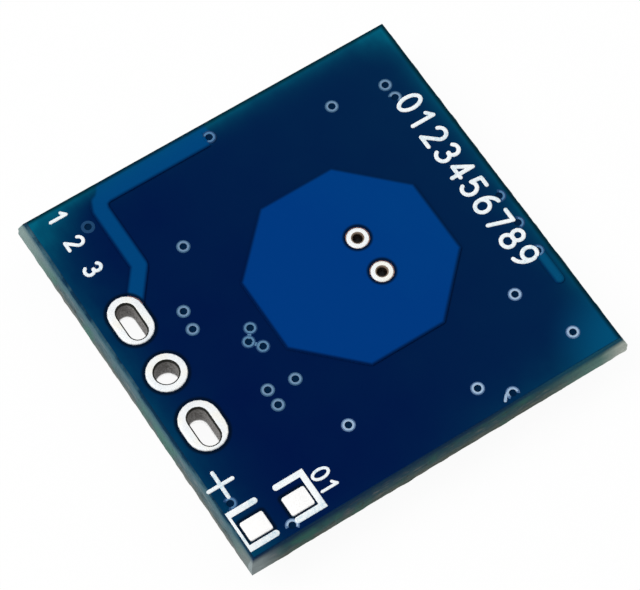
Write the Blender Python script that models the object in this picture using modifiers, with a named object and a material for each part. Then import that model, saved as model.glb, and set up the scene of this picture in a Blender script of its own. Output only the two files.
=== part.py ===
# Microwave radar sensor module: a square circuit board with an octagonal patch antenna
# on its face, three plated pin holes in a row, and the radar circuit underneath.
# Metres, +Z up. The module lies on its tallest parts with the antenna up, and the origin
# is on the surface that it lies on, under the middle of the board.
# X runs along the row of pins, and Y runs from the pins to the far edge.

import math

import bmesh
import bpy
from mathutils import Matrix, Vector

MM = 0.001

# Board as laid out, and what the V scores take from its face along each edge. The scores
# are cut deeper into the face than into the back, and the board is snapped along them.
BOARD_SIDE = 16.0 * MM
BOARD_THICKNESS = 1.2 * MM
SCORE_LOSS = 0.05 * MM
SCORE_DEPTH = 0.5 * MM
BACK_SCORE_DEPTH = 0.2 * MM
SCORE_HALF_ANGLE = math.radians(20)

# The scores came out a little to the left of the layout
LAYOUT_SHIFT = 0.15 * MM

# Layers on each side of the board
FOIL = 0.05 * MM
TINNED_FOIL = 0.07 * MM
MASK_COAT = 0.03 * MM
MASK_SETBACK = 0.02 * MM
SOLDER_FILM = 0.07 * MM

# Clearances: between stacked layers, round plated holes, and round copper in the mask
SEAT_GAP = 0.01 * MM
FIT_GAP = 0.01 * MM
MASK_GAP = 0.02 * MM

# Antenna: a regular octagon with two feed holes, off the middle of the board towards +Y
PATCH_FLATS = 7.6 * MM
PATCH_OFFSET = 1.25 * MM
FEED_SPACING = 1.65 * MM
FEED_OFFSET = 0.82 * MM
FEED_RING = 0.88 * MM
FEED_HOLE = 0.46 * MM
FEED_WALL = 0.06 * MM

# Pin holes, measured in from the pin edge
PIN_PITCH = 2.5 * MM
PIN_INSET = 1.23 * MM
PIN_WALL = 0.08 * MM
SUPPLY_PAD = (2.08 * MM, 1.42 * MM)
SUPPLY_SLOT = (1.66 * MM, 0.8 * MM)
OUTPUT_PAD = 1.56 * MM
OUTPUT_HOLE = 1.02 * MM
GROUND_PAD = (2.1 * MM, 1.58 * MM)
GROUND_SLOT = (1.7 * MM, 0.87 * MM)
SLOT_SHIFT = 0.07 * MM

# Pads for the LED, from the right and pin edges to the lower pad's middle
LED_PAD = (0.82 * MM, 0.97 * MM)
LED_SIDE_INSET = 1.17 * MM
LED_PIN_INSET = 0.77 * MM
LED_PAD_STEP = 1.76 * MM

# Vias
VIA_PAD = 0.46 * MM
VIA_HOLE = 0.24 * MM
VIA_WALL = 0.05 * MM
VIA_TRIO_GAP = 0.1 * MM
VIA_TRIO_BELOW_PATCH = 1.05 * MM
VIA_TRIO_SLOPE = math.radians(38)

# Tracks. The supply track runs level above the supply pad, then slants down to it.
SUPPLY_TRACK_WIDTH = 0.6 * MM
SUPPLY_TRACK_BEND = 0.45 * MM
SUPPLY_TRACK_ABOVE_PAD = 0.72 * MM
SUPPLY_TRACK_SLANT_START = 1.75 * MM
EDGE_TRACK_WIDTH = 0.3 * MM
EDGE_TRACK_LENGTH = 1.4 * MM
SIGNAL_WIDTH = 0.25 * MM
TRACK_GAP = 0.03 * MM

# Radar chip: a flat package with six lead ends along each side
CHIP_SIDE = 4.0 * MM
CHIP_HEIGHT = 0.75 * MM
CHIP_OFFSET = 0.85 * MM
CHIP_STANDOFF = 0.02 * MM
CHIP_LEADS_A_SIDE = 6
CHIP_LEAD_PITCH = 0.5 * MM
CHIP_LEAD_WIDTH = 0.24 * MM
CHIP_LEAD_LENGTH = 0.4 * MM
CHIP_LEAD_HEIGHT = 0.2 * MM
CHIP_LEAD_PROUD = 0.03 * MM
CHIP_EDGE_BEVEL = 0.04 * MM
CHIP_DIMPLE = 0.4 * MM
CHIP_DIMPLE_DEPTH = 0.04 * MM
CHIP_DIMPLE_INSET = 0.55 * MM

# Regulator: a moulded body with three bent leads
REGULATOR_LENGTH = 2.92 * MM
REGULATOR_WIDTH = 1.3 * MM
REGULATOR_HEIGHT = 1.1 * MM
REGULATOR_STANDOFF = 0.06 * MM
REGULATOR_DRAFT = math.radians(7)
REGULATOR_EDGE_BEVEL = 0.04 * MM
REGULATOR_LEAD_PITCH = 0.95 * MM
REGULATOR_LEAD_WIDTH = 0.4 * MM
REGULATOR_LEAD_SHEET = 0.12 * MM
REGULATOR_LEAD_SPAN = REGULATOR_WIDTH + 1.1 * MM
REGULATOR_FOOT = 0.32 * MM
REGULATOR_LEAD_BEND = 0.09 * MM
REGULATOR_LEAD_SHOULDER = 0.015 * MM

# Chip capacitors and resistors: length, width, height, length of each metal end
LARGE_CAPACITOR = (2.0 * MM, 1.25 * MM, 1.25 * MM, 0.45 * MM)
SMALL_CAPACITOR = (1.0 * MM, 0.5 * MM, 0.5 * MM, 0.25 * MM)
SMALL_RESISTOR = (1.0 * MM, 0.5 * MM, 0.35 * MM, 0.22 * MM)
END_SWELL = 0.02 * MM
END_EDGE_BEVEL = 0.03 * MM

# Middles of the largest parts underneath, from the middle of the board
REGULATOR_X = -5.3 * MM
REGULATOR_Y = 0.9 * MM
SUPPLY_CAPACITOR_X = -5.6 * MM
SUPPLY_CAPACITOR_Y = -2.3 * MM
FAR_CAPACITOR_X = -3.2 * MM
FAR_CAPACITOR_Y = 5.6 * MM
SIDE_CAPACITOR_X = 5.5 * MM
SIDE_CAPACITOR_Y = -0.6 * MM

# Corners in a full round outline
VIA_CORNERS = 10
HOLE_CORNERS = 24
SLOT_END_CORNERS = 10

# Finishes: colour, roughness, metallic
FINISHES = {
    "laminate": ((0.30, 0.34, 0.26), 0.85, 0.0),
    "blue_mask": ((0.005, 0.02, 0.10), 0.35, 0.0),
    "copper": ((0.78, 0.42, 0.25), 0.35, 1.0),
    "tin": ((0.85, 0.85, 0.84), 0.3, 1.0),
    "moulding": ((0.02, 0.02, 0.022), 0.6, 0.0),
    "ceramic": ((0.45, 0.33, 0.22), 0.5, 0.0),
    "resistor": ((0.03, 0.03, 0.035), 0.45, 0.0),
}

# Edges of the layout
LEFT = -BOARD_SIDE / 2
RIGHT = BOARD_SIDE / 2
PIN_EDGE = -BOARD_SIDE / 2
FAR_EDGE = BOARD_SIDE / 2

# Sides of the snapped board: at its face, at the web between the scores, and at its back
SCORE_FLARE = math.tan(SCORE_HALF_ANGLE)
FACE_SIDE = BOARD_SIDE - 2 * SCORE_LOSS
WEB_SIDE = FACE_SIDE + 2 * SCORE_DEPTH * SCORE_FLARE
BACK_SIDE = WEB_SIDE - 2 * BACK_SCORE_DEPTH * SCORE_FLARE

# Levels, from the surface up: the tallest hanging part sets how high the board lies
SEAT = max(LARGE_CAPACITOR[2], REGULATOR_HEIGHT, CHIP_HEIGHT)
BACK_FACE = SEAT + SOLDER_FILM
BOARD_BOTTOM = BACK_FACE + MASK_COAT + SEAT_GAP
BOARD_TOP = BOARD_BOTTOM + BOARD_THICKNESS
LAYER_START = BOARD_TOP + SEAT_GAP

# Pins: middle, pad, hole, and how far the hole lies off the pad's middle
PIN_Y = PIN_EDGE + PIN_INSET
SUPPLY_PIN = (-PIN_PITCH, PIN_Y)
OUTPUT_PIN = (0.0, PIN_Y)
GROUND_PIN = (PIN_PITCH, PIN_Y)
PINS = (
    (SUPPLY_PIN, SUPPLY_PAD, SUPPLY_SLOT, SLOT_SHIFT),
    (OUTPUT_PIN, (OUTPUT_PAD, OUTPUT_PAD), (OUTPUT_HOLE, OUTPUT_HOLE), 0.0),
    (GROUND_PIN, GROUND_PAD, GROUND_SLOT, SLOT_SHIFT),
)

# Feed places
FEED_Y = PATCH_OFFSET + FEED_OFFSET
FEEDS = ((-FEED_SPACING / 2, FEED_Y), (FEED_SPACING / 2, FEED_Y))

# LED pad places
LED_X = RIGHT - LED_SIDE_INSET
LED_PADS = ((LED_X, PIN_EDGE + LED_PIN_INSET), (LED_X, PIN_EDGE + LED_PIN_INSET + LED_PAD_STEP))

# Via places: those near an edge are measured in from it, the trio from the patch, and the
# others from the middle
SUPPLY_VIA = (LEFT + 0.55 * MM, -0.3 * MM)
EDGE_TRACK_VIA = (3.23 * MM, FAR_EDGE - 0.6 * MM)
TRIO_MIDDLE = Vector((0.57 * MM, PATCH_OFFSET - PATCH_FLATS / 2 - VIA_TRIO_BELOW_PATCH))
TRIO_REACH = (VIA_PAD + VIA_TRIO_GAP) * Vector((math.cos(VIA_TRIO_SLOPE), math.sin(VIA_TRIO_SLOPE)))
VIA_TRIO = (
    tuple(TRIO_MIDDLE + Vector((-TRIO_REACH.x, TRIO_REACH.y))),
    tuple(TRIO_MIDDLE),
    tuple(TRIO_MIDDLE + TRIO_REACH),
)
VIAS = (
    SUPPLY_VIA,
    EDGE_TRACK_VIA,
    *VIA_TRIO,
    (LEFT + 2.25 * MM, FAR_EDGE - 1.45 * MM),
    (LEFT + 2.9 * MM, FAR_EDGE - 1.43 * MM),
    (LEFT + 1.93 * MM, FAR_EDGE - 3.67 * MM),
    (LEFT + 1.33 * MM, PIN_EDGE + 1.9 * MM),
    (0.55 * MM, FAR_EDGE - 0.5 * MM),
    (1.86 * MM, FAR_EDGE - 0.55 * MM),
    (RIGHT - 3.74 * MM, FAR_EDGE - 2.33 * MM),
    (RIGHT - 1.32 * MM, FAR_EDGE - 1.42 * MM),
    (RIGHT - 1.34 * MM, 2.38 * MM),
    (RIGHT - 0.5 * MM, 3.35 * MM),
    (RIGHT - 2.67 * MM, -2.35 * MM),
    (RIGHT - 2.4 * MM, PIN_EDGE + 0.45 * MM),
    (RIGHT - 0.5 * MM, PIN_EDGE + 1.86 * MM),
    (-4.05 * MM, -3.55 * MM),
    (-1.77 * MM, PIN_EDGE + 3.05 * MM),
    (-0.97 * MM, PIN_EDGE + 2.95 * MM),
    (2.75 * MM, -2.97 * MM),
    (2.58 * MM, -4.05 * MM),
    (3.28 * MM, -4.05 * MM),
)

# Places of the parts underneath: X, Y and turn about Z
CHIP_Y = -CHIP_OFFSET
REGULATOR_SPOT = (REGULATOR_X, REGULATOR_Y, 90)
LARGE_CAPACITOR_SPOTS = (
    (SUPPLY_CAPACITOR_X, SUPPLY_CAPACITOR_Y, 0),
    (FAR_CAPACITOR_X, FAR_CAPACITOR_Y, 0),
    (SIDE_CAPACITOR_X, SIDE_CAPACITOR_Y, 90),
)
SMALL_CAPACITOR_SPOTS = (
    (-3.1 * MM, 0.3 * MM, 90),
    (-3.1 * MM, -1.6 * MM, 90),
    (3.1 * MM, 0.5 * MM, 90),
    (3.1 * MM, -1.3 * MM, 90),
    (-2.6 * MM, 2.6 * MM, 0),
)
SMALL_RESISTOR_SPOTS = (
    (-0.9 * MM, -3.9 * MM, 0),
    (-2.7 * MM, -3.9 * MM, 0),
    (1.0 * MM, PIN_EDGE + 3.1 * MM, 0),
    (RIGHT - 3.0 * MM, PIN_EDGE + 2.1 * MM, 90),
    (RIGHT - 2.1 * MM, FAR_EDGE - 3.6 * MM, 0),
)

for leftover in list(bpy.data.objects):
    bpy.data.objects.remove(leftover, do_unlink=True)

parts = bpy.data.collections.new("microwave_radar_sensor_module")
cutters = bpy.data.collections.new("cutters")
bpy.context.scene.collection.children.link(parts)
bpy.context.scene.collection.children.link(cutters)


# Outlines, as lists of corner points


def polygon(centre, radius, corners, turn=0.0):
    steps = [turn + 2 * math.pi * k / corners for k in range(corners)]
    return [(centre[0] + radius * math.cos(a), centre[1] + radius * math.sin(a)) for a in steps]


def octagon(centre, flats):
    half_corner = math.pi / 8
    return polygon(centre, flats / 2 / math.cos(half_corner), 8, half_corner)


def rectangle(centre, size):
    half_x, half_y = size[0] / 2, size[1] / 2
    corners = ((-half_x, -half_y), (half_x, -half_y), (half_x, half_y), (-half_x, half_y))
    return [(centre[0] + x, centre[1] + y) for x, y in corners]


def stadium(centre, size):
    # Round ends on a straight run along X
    reach, radius = (size[0] - size[1]) / 2, size[1] / 2
    points = []
    for side in (1, -1):
        for k in range(SLOT_END_CORNERS + 1):
            angle = math.pi * (k / SLOT_END_CORNERS - 0.5)
            across = reach + radius * math.cos(angle)
            points.append((centre[0] + side * across, centre[1] + side * radius * math.sin(angle)))
    return points


def grown(size, gap):
    return (size[0] + 2 * gap, size[1] + 2 * gap)


def rounded_route(corners, radius, steps=4):
    # The route through the corners, with each turn made an arc
    corners = [Vector(corner) for corner in corners]
    route = [corners[0]]
    for before, corner, after in zip(corners, corners[1:], corners[2:]):
        back = (before - corner).normalized()
        ahead = (after - corner).normalized()
        half_angle = back.angle(ahead) / 2
        centre = corner + (back + ahead).normalized() * radius / math.sin(half_angle)
        spoke = corner + back * radius / math.tan(half_angle) - centre
        last_spoke = corner + ahead * radius / math.tan(half_angle) - centre
        sweep = math.copysign(math.pi - 2 * half_angle, spoke.cross(last_spoke))
        for k in range(steps + 1):
            route.append(centre + Matrix.Rotation(sweep * k / steps, 2) @ spoke)
    return route + [corners[-1]]


def ribbon(route, width):
    # Outline of a strip along a route, mitred at each bend
    route = [Vector(point) for point in route]
    runs = [(after - before).normalized() for before, after in zip(route, route[1:])]
    left, right = [], []
    for point, arriving, leaving in zip(route, runs[:1] + runs, runs + runs[-1:]):
        ahead = (arriving + leaving).normalized()
        side = Vector((-ahead.y, ahead.x)) * width / 2 / ahead.dot(leaving)
        left.append(tuple(point + side))
        right.append(tuple(point - side))
    return left + right[::-1]


# Building tools


def paint(mesh, finish):
    material = bpy.data.materials.get(finish)
    if material is None:
        colour, roughness, metallic = FINISHES[finish]
        material = bpy.data.materials.new(finish)
        material.use_nodes = True
        shader = material.node_tree.nodes["Principled BSDF"]
        shader.inputs["Base Color"].default_value = (*colour, 1.0)
        shader.inputs["Roughness"].default_value = roughness
        shader.inputs["Metallic"].default_value = metallic
    mesh.materials.clear()
    mesh.materials.append(material)


def smooth(mesh):
    mesh.shade_smooth()
    mesh.set_sharp_from_angle(angle=math.radians(40))


def place(name, mesh, collection=parts):
    piece = bpy.data.objects.new(name, mesh)
    collection.objects.link(piece)
    if collection is cutters:
        piece.hide_render = True
        piece.display_type = "WIRE"
    return piece


def evaluated_mesh(piece, placing=Matrix()):
    # The piece's finished mesh, placed and with loose caps welded, instead of the piece itself
    bpy.context.view_layer.update()
    mesh = bpy.data.meshes.new_from_object(piece.evaluated_get(bpy.context.evaluated_depsgraph_get()))
    mesh.transform(placing)
    shape = bmesh.new()
    shape.from_mesh(mesh)
    bmesh.ops.remove_doubles(shape, verts=shape.verts, dist=0.0001 * MM)
    shape.to_mesh(mesh)
    shape.free()
    bpy.data.objects.remove(piece, do_unlink=True)
    return mesh


def plate_mesh(name, outlines, bottom, top):
    # Outlines filled and given a thickness. An outline inside another is a hole in it.
    # They are drawn in millimetres, because the fill drops edges shorter than 0.03 units.
    curve = bpy.data.curves.new(name, "CURVE")
    curve.dimensions = "2D"
    curve.fill_mode = "BOTH"
    curve.extrude = (top - bottom) / 2 / MM
    for outline in outlines:
        spline = curve.splines.new("POLY")
        spline.points.add(len(outline) - 1)
        for point, (x, y) in zip(spline.points, outline):
            point.co = (x / MM, y / MM, 0.0, 1.0)
        spline.use_cyclic_u = True
    drawn = bpy.data.objects.new(name, curve)
    bpy.context.scene.collection.objects.link(drawn)
    mesh = evaluated_mesh(drawn, Matrix.Translation((0, 0, (bottom + top) / 2)) @ Matrix.Scale(MM, 4))
    mesh.name = name
    return mesh


def plate(name, outlines, bottom, top, collection=parts):
    return place(name, plate_mesh(name, outlines, bottom, top), collection)


def combine(piece, other, operation):
    step = piece.modifiers.new(other.name, "BOOLEAN")
    step.object = other
    step.operation = operation
    step.solver = "EXACT"


def bevel(piece, width):
    edge = piece.modifiers.new("edges", "BEVEL")
    edge.width = width
    edge.segments = 1
    edge.limit_method = "ANGLE"
    edge.angle_limit = math.radians(30)


def hang(piece, x, y, turn):
    # Turns a part modelled upright on Z = 0 over, and seats it under the board
    piece.rotation_euler = (math.pi, 0, math.radians(turn))
    piece.location = (x, y, SEAT)


# Board


def hole_outlines(gap):
    # Every plated hole's barrel, as it passes through the laminate
    vias = [polygon(spot, VIA_HOLE / 2 + VIA_WALL + gap, VIA_CORNERS) for spot in VIAS]
    feeds = [polygon(spot, FEED_HOLE / 2 + FEED_WALL + gap, HOLE_CORNERS) for spot in FEEDS]
    pins = [pin_barrel(pin, gap) for pin in PINS]
    return vias + feeds + pins


def pad_outlines(gap):
    # Every plated hole's ring, which shows on both faces
    vias = [polygon(spot, VIA_PAD / 2 + gap, VIA_CORNERS) for spot in VIAS]
    feeds = [polygon(spot, FEED_RING / 2 + gap, HOLE_CORNERS) for spot in FEEDS]
    pins = [pin_pad(pin, gap) for pin in PINS]
    return vias + feeds + pins


def make_laminate():
    web = BOARD_THICKNESS - SCORE_DEPTH - BACK_SCORE_DEPTH
    shape = bmesh.new()
    bmesh.ops.create_cube(shape, size=1.0)
    bmesh.ops.scale(shape, vec=(WEB_SIDE, WEB_SIDE, web), verts=shape.verts)
    for way, depth, side in ((1, SCORE_DEPTH, FACE_SIDE), (-1, BACK_SCORE_DEPTH, BACK_SIDE)):
        face = max(shape.faces, key=lambda f: f.calc_center_median().z * way)
        grown_out = bmesh.ops.extrude_discrete_faces(shape, faces=[face])["faces"][0]
        bmesh.ops.translate(shape, vec=(0, 0, way * depth), verts=grown_out.verts)
        bmesh.ops.scale(shape, vec=(side / WEB_SIDE, side / WEB_SIDE, 1), verts=grown_out.verts)
    bmesh.ops.translate(shape, vec=(0, 0, BOARD_BOTTOM + BACK_SCORE_DEPTH + web / 2), verts=shape.verts)
    mesh = bpy.data.meshes.new("board_laminate")
    shape.to_mesh(mesh)
    shape.free()
    paint(mesh, "laminate")
    board = place("board_laminate", mesh)
    past = SCORE_DEPTH
    holes = plate("laminate_holes", hole_outlines(FIT_GAP), BOARD_BOTTOM - past, BOARD_TOP + past, cutters)
    combine(board, holes, "DIFFERENCE")


# Copper under the front mask


def patch_outline(gap=0.0):
    return octagon((0.0, PATCH_OFFSET), PATCH_FLATS + 2 * gap)


def supply_route():
    # From the via at the left edge, down and along to the supply pin's pad
    x, y = SUPPLY_VIA
    half_pad = SUPPLY_PAD[1] / 2
    level = PIN_Y + half_pad + SUPPLY_TRACK_ABOVE_PAD
    slant_x = SUPPLY_PIN[0] - SUPPLY_TRACK_SLANT_START
    end = (SUPPLY_PIN[0] - half_pad / 2, PIN_Y + half_pad / 2)
    return rounded_route([(x, y - VIA_PAD / 3), (x, level), (slant_x, level), end], SUPPLY_TRACK_BEND)


def edge_route():
    x, y = EDGE_TRACK_VIA
    return [Vector((x + VIA_PAD / 3, y)), Vector((x + EDGE_TRACK_LENGTH, y))]


def front_tracks(gap=0.0):
    return [
        ribbon(supply_route(), SUPPLY_TRACK_WIDTH + 2 * gap),
        ribbon(edge_route(), EDGE_TRACK_WIDTH + 2 * gap),
    ]


def make_front_copper():
    top = LAYER_START + FOIL
    rings = [polygon(spot, FEED_RING / 2 + FIT_GAP, HOLE_CORNERS) for spot in FEEDS]
    patch = plate("antenna_patch", [patch_outline()] + rings, LAYER_START, top)
    paint(patch.data, "copper")
    pads = plate("track_ends", pad_outlines(FIT_GAP), BOARD_TOP, top + FOIL, cutters)
    for name, outline in zip(("supply_track", "edge_track"), front_tracks()):
        track = plate(name, [outline], LAYER_START, top)
        paint(track.data, "copper")
        combine(track, pads, "DIFFERENCE")


# Copper under the back mask


def back_routes():
    # Chip to each feed hole, output pin to its resistor, supply via to its capacitor
    chip_edge = CHIP_Y + CHIP_SIDE / 2 + CHIP_LEAD_PROUD + TRACK_GAP
    routes = {}
    for name, (x, y) in zip(("feed_track_left", "feed_track_right"), FEEDS):
        routes[name] = [Vector((x, chip_edge)), Vector((x, y - FEED_RING / 3))]
    resistor_x, resistor_y, _ = SMALL_RESISTOR_SPOTS[2]
    resistor_end = resistor_x - SMALL_RESISTOR[0] / 2 - TRACK_GAP
    corner = (OUTPUT_PIN[0], resistor_y)
    start = (OUTPUT_PIN[0], PIN_Y + OUTPUT_PAD / 3)
    routes["output_track"] = rounded_route([start, corner, (resistor_end, resistor_y)], SIGNAL_WIDTH)
    x, y = SUPPLY_VIA
    capacitor_x, capacitor_y, _ = LARGE_CAPACITOR_SPOTS[0]
    capacitor_end = capacitor_x - LARGE_CAPACITOR[0] / 2 - TRACK_GAP
    way = [(x, y - VIA_PAD / 3), (x, capacitor_y), (capacitor_end, capacitor_y)]
    routes["supply_track_back"] = rounded_route(way, SUPPLY_TRACK_BEND)
    return routes


def back_tracks(gap=0.0):
    widths = {"supply_track_back": SUPPLY_TRACK_WIDTH}
    outlines = {}
    for name, route in back_routes().items():
        outlines[name] = ribbon(route, widths.get(name, SIGNAL_WIDTH) + 2 * gap)
    return outlines


def make_back_copper():
    top = BOARD_BOTTOM - SEAT_GAP
    bottom = top - FOIL
    pads = plate("track_ends_back", pad_outlines(FIT_GAP), bottom - FOIL, BOARD_BOTTOM, cutters)
    for name, outline in back_tracks().items():
        track = plate(name, [outline], bottom, top)
        paint(track.data, "copper")
        combine(track, pads, "DIFFERENCE")


# Solder mask: a coat that rises over the copper under it and leaves the pads bare


def make_front_mask():
    side = FACE_SIDE - 2 * MASK_SETBACK
    lift = SEAT_GAP + FOIL
    coat = plate("front_mask", [rectangle((0, 0), (side, side))], LAYER_START, LAYER_START + MASK_COAT)
    paint(coat.data, "blue_mask")
    raised = [patch_outline(FIT_GAP + MASK_COAT)] + front_tracks(FIT_GAP + MASK_COAT)
    inside = LAYER_START + MASK_COAT / 2
    rise = plate("front_rise", raised, inside, LAYER_START + lift + MASK_COAT, cutters)
    pockets = [patch_outline(FIT_GAP)] + front_tracks(FIT_GAP)
    hollow = plate("front_hollow", pockets, BOARD_TOP, LAYER_START + lift, cutters)
    led_pads = [rectangle(spot, grown(LED_PAD, MASK_GAP)) for spot in LED_PADS]
    bare = plate("front_bare", pad_outlines(MASK_GAP) + led_pads, BOARD_TOP, BOARD_TOP + SCORE_DEPTH, cutters)
    combine(coat, rise, "UNION")
    combine(coat, bare, "DIFFERENCE")
    combine(coat, hollow, "DIFFERENCE")


def make_back_mask():
    side = BACK_SIDE - 2 * MASK_SETBACK
    top = BOARD_BOTTOM - SEAT_GAP
    lift = SEAT_GAP + FOIL
    coat = plate("back_mask", [rectangle((0, 0), (side, side))], BACK_FACE, top)
    paint(coat.data, "blue_mask")
    raised = list(back_tracks(FIT_GAP + MASK_COAT).values())
    inside = top - MASK_COAT / 2
    rise = plate("back_rise", raised, top - lift - MASK_COAT, inside, cutters)
    hollow = plate("back_hollow", list(back_tracks(FIT_GAP).values()), top - lift, BOARD_BOTTOM, cutters)
    bare = plate("back_bare", pad_outlines(MASK_GAP), BOARD_BOTTOM - SCORE_DEPTH, BOARD_BOTTOM, cutters)
    combine(coat, rise, "UNION")
    combine(coat, bare, "DIFFERENCE")
    combine(coat, hollow, "DIFFERENCE")


# Plated holes and pads


def round_or_long(centre, size, gap):
    if size[0] == size[1]:
        return polygon(centre, size[0] / 2 + gap, HOLE_CORNERS)
    return stadium(centre, grown(size, gap))


def pin_pad(pin, gap=0.0):
    centre, pad, _, _ = pin
    return round_or_long(centre, pad, gap)


def pin_hole(pin, gap=0.0):
    centre, _, hole, shift = pin
    return round_or_long((centre[0] + shift, centre[1]), hole, gap)


def pin_barrel(pin, gap=0.0):
    return pin_hole(pin, PIN_WALL + gap)


def make_pin_eyelets():
    # A pad on each face, joined by the barrel that lines the hole
    top = LAYER_START + TINNED_FOIL
    bottom = BOARD_BOTTOM - SEAT_GAP - TINNED_FOIL
    for number, pin in enumerate(PINS, 1):
        name = f"pin_eyelet_{number}"
        eyelet = plate(name, [pin_barrel(pin)], bottom + FOIL / 2, top - FOIL / 2)
        paint(eyelet.data, "tin")
        front = plate(f"{name}_front", [pin_pad(pin)], LAYER_START, top, cutters)
        back = plate(f"{name}_back", [pin_pad(pin)], bottom, BOARD_BOTTOM - SEAT_GAP, cutters)
        hole = plate(f"{name}_hole", [pin_hole(pin)], bottom - SCORE_DEPTH, top + SCORE_DEPTH, cutters)
        combine(eyelet, front, "UNION")
        combine(eyelet, back, "UNION")
        combine(eyelet, hole, "DIFFERENCE")


def turned_eyelet(ring, hole, wall, corners):
    # A barrel with a ring at each end, turned about Z
    top = LAYER_START + TINNED_FOIL
    bottom = BOARD_BOTTOM - SEAT_GAP - TINNED_FOIL
    ring_r, hole_r = ring / 2, hole / 2
    wall_r = hole_r + wall
    profile = [
        (ring_r, top),
        (ring_r, LAYER_START),
        (wall_r, LAYER_START),
        (wall_r, BOARD_BOTTOM - SEAT_GAP),
        (ring_r, BOARD_BOTTOM - SEAT_GAP),
        (ring_r, bottom),
        (hole_r, bottom),
        (hole_r, top),
    ]
    shape = bmesh.new()
    verts = [shape.verts.new((r, 0, z)) for r, z in profile]
    for k, vert in enumerate(verts):
        shape.edges.new((vert, verts[(k + 1) % len(verts)]))
    mesh = bpy.data.meshes.new("eyelet_profile")
    shape.to_mesh(mesh)
    shape.free()
    drawn = place("eyelet_profile", mesh)
    spin = drawn.modifiers.new("turn", "SCREW")
    spin.steps = corners
    spin.render_steps = corners
    spin.use_merge_vertices = True
    spin.merge_threshold = 0.0001 * MM
    turned = evaluated_mesh(drawn)
    smooth(turned)
    paint(turned, "tin")
    return turned


def make_round_eyelets():
    feed = turned_eyelet(FEED_RING, FEED_HOLE, FEED_WALL, HOLE_CORNERS)
    for name, spot in zip(("feed_eyelet_left", "feed_eyelet_right"), FEEDS):
        place(name, feed).location = (*spot, 0)
    via = turned_eyelet(VIA_PAD, VIA_HOLE, VIA_WALL, VIA_CORNERS)
    for number, spot in enumerate(VIAS, 1):
        place(f"via_{number:02d}", via).location = (*spot, 0)


def make_led_pads():
    for number, spot in enumerate(LED_PADS, 1):
        pad = plate(f"led_pad_{number}", [rectangle(spot, LED_PAD)], LAYER_START, LAYER_START + TINNED_FOIL)
        paint(pad.data, "tin")


# Parts underneath, each modelled upright on Z = 0


def make_chip():
    reach = CHIP_SIDE / 2 + CHIP_LEAD_PROUD - CHIP_LEAD_LENGTH / 2
    leads = []
    for k in range(CHIP_LEADS_A_SIDE):
        along = (k - (CHIP_LEADS_A_SIDE - 1) / 2) * CHIP_LEAD_PITCH
        for side in (-reach, reach):
            leads.append(rectangle((side, along), (CHIP_LEAD_LENGTH, CHIP_LEAD_WIDTH)))
            leads.append(rectangle((along, side), (CHIP_LEAD_WIDTH, CHIP_LEAD_LENGTH)))
    body = plate_mesh("chip_body", [rectangle((0, 0), (CHIP_SIDE, CHIP_SIDE))], CHIP_STANDOFF, CHIP_HEIGHT)
    paint(body, "moulding")
    chip = place("radar_chip", body)
    bevel(chip, CHIP_EDGE_BEVEL)
    lead_ends = plate("chip_lead_ends", leads, 0, CHIP_LEAD_HEIGHT, cutters)
    corner = CHIP_SIDE / 2 - CHIP_DIMPLE_INSET
    mark = [polygon((-corner, corner), CHIP_DIMPLE / 2, HOLE_CORNERS)]
    dimple = plate("chip_dimple", mark, CHIP_HEIGHT - CHIP_DIMPLE_DEPTH, CHIP_HEIGHT + CHIP_DIMPLE, cutters)
    combine(chip, lead_ends, "UNION")
    combine(chip, dimple, "DIFFERENCE")
    for piece in (chip, lead_ends, dimple):
        hang(piece, 0, CHIP_Y, 0)


def make_regulator():
    regulator = bpy.data.objects.new("regulator", None)
    parts.objects.link(regulator)
    hang(regulator, *REGULATOR_SPOT)
    body_height = REGULATOR_HEIGHT - REGULATOR_STANDOFF
    parting = REGULATOR_STANDOFF + body_height / 2
    shape = bmesh.new()
    bmesh.ops.create_cube(shape, size=1.0)
    bmesh.ops.scale(shape, vec=(REGULATOR_LENGTH, REGULATOR_WIDTH, body_height), verts=shape.verts)
    bmesh.ops.bisect_plane(shape, geom=shape.verts[:] + shape.edges[:] + shape.faces[:], plane_no=(0, 0, 1))
    draft = body_height / 2 * math.tan(REGULATOR_DRAFT)
    for vert in shape.verts:
        if abs(vert.co.z) > body_height / 4:
            vert.co.x -= math.copysign(draft, vert.co.x)
            vert.co.y -= math.copysign(draft, vert.co.y)
    bmesh.ops.translate(shape, vec=(0, 0, parting), verts=shape.verts)
    mesh = bpy.data.meshes.new("regulator_body")
    shape.to_mesh(mesh)
    shape.free()
    paint(mesh, "moulding")
    body = place("regulator_body", mesh)
    body.parent = regulator
    bevel(body, REGULATOR_EDGE_BEVEL)
    # The lead's side view, from the body out and down to its foot
    sheet = REGULATOR_LEAD_SHEET
    tip = REGULATOR_LEAD_SPAN / 2
    root = REGULATOR_WIDTH / 2 + SEAT_GAP
    heel = tip - REGULATOR_FOOT
    knee = (root + heel) / 2
    bends = [(root, parting), (knee, parting), (heel, sheet / 2), (tip, sheet / 2)]
    steepness = math.atan2(parting - sheet / 2, heel - knee)
    roomiest = (knee - root - REGULATOR_LEAD_SHOULDER) / math.tan(steepness / 2)
    side_view = ribbon(rounded_route(bends, min(REGULATOR_LEAD_BEND, roomiest), 3), sheet)
    half = REGULATOR_LEAD_WIDTH / 2
    lead = plate_mesh("regulator_lead", [side_view], -half, half)
    upright = Matrix(((0, 0, 1, 0), (1, 0, 0, 0), (0, 1, 0, 0), (0, 0, 0, 1)))
    lead.transform(upright)
    paint(lead, "tin")
    smooth(lead)
    lead_places = ((0, 0), (-REGULATOR_LEAD_PITCH, 180), (REGULATOR_LEAD_PITCH, 180))
    for number, (along, turn) in enumerate(lead_places, 1):
        piece = place(f"regulator_lead_{number}", lead)
        piece.parent = regulator
        piece.location.x = along
        piece.rotation_euler.z = math.radians(turn)


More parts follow.
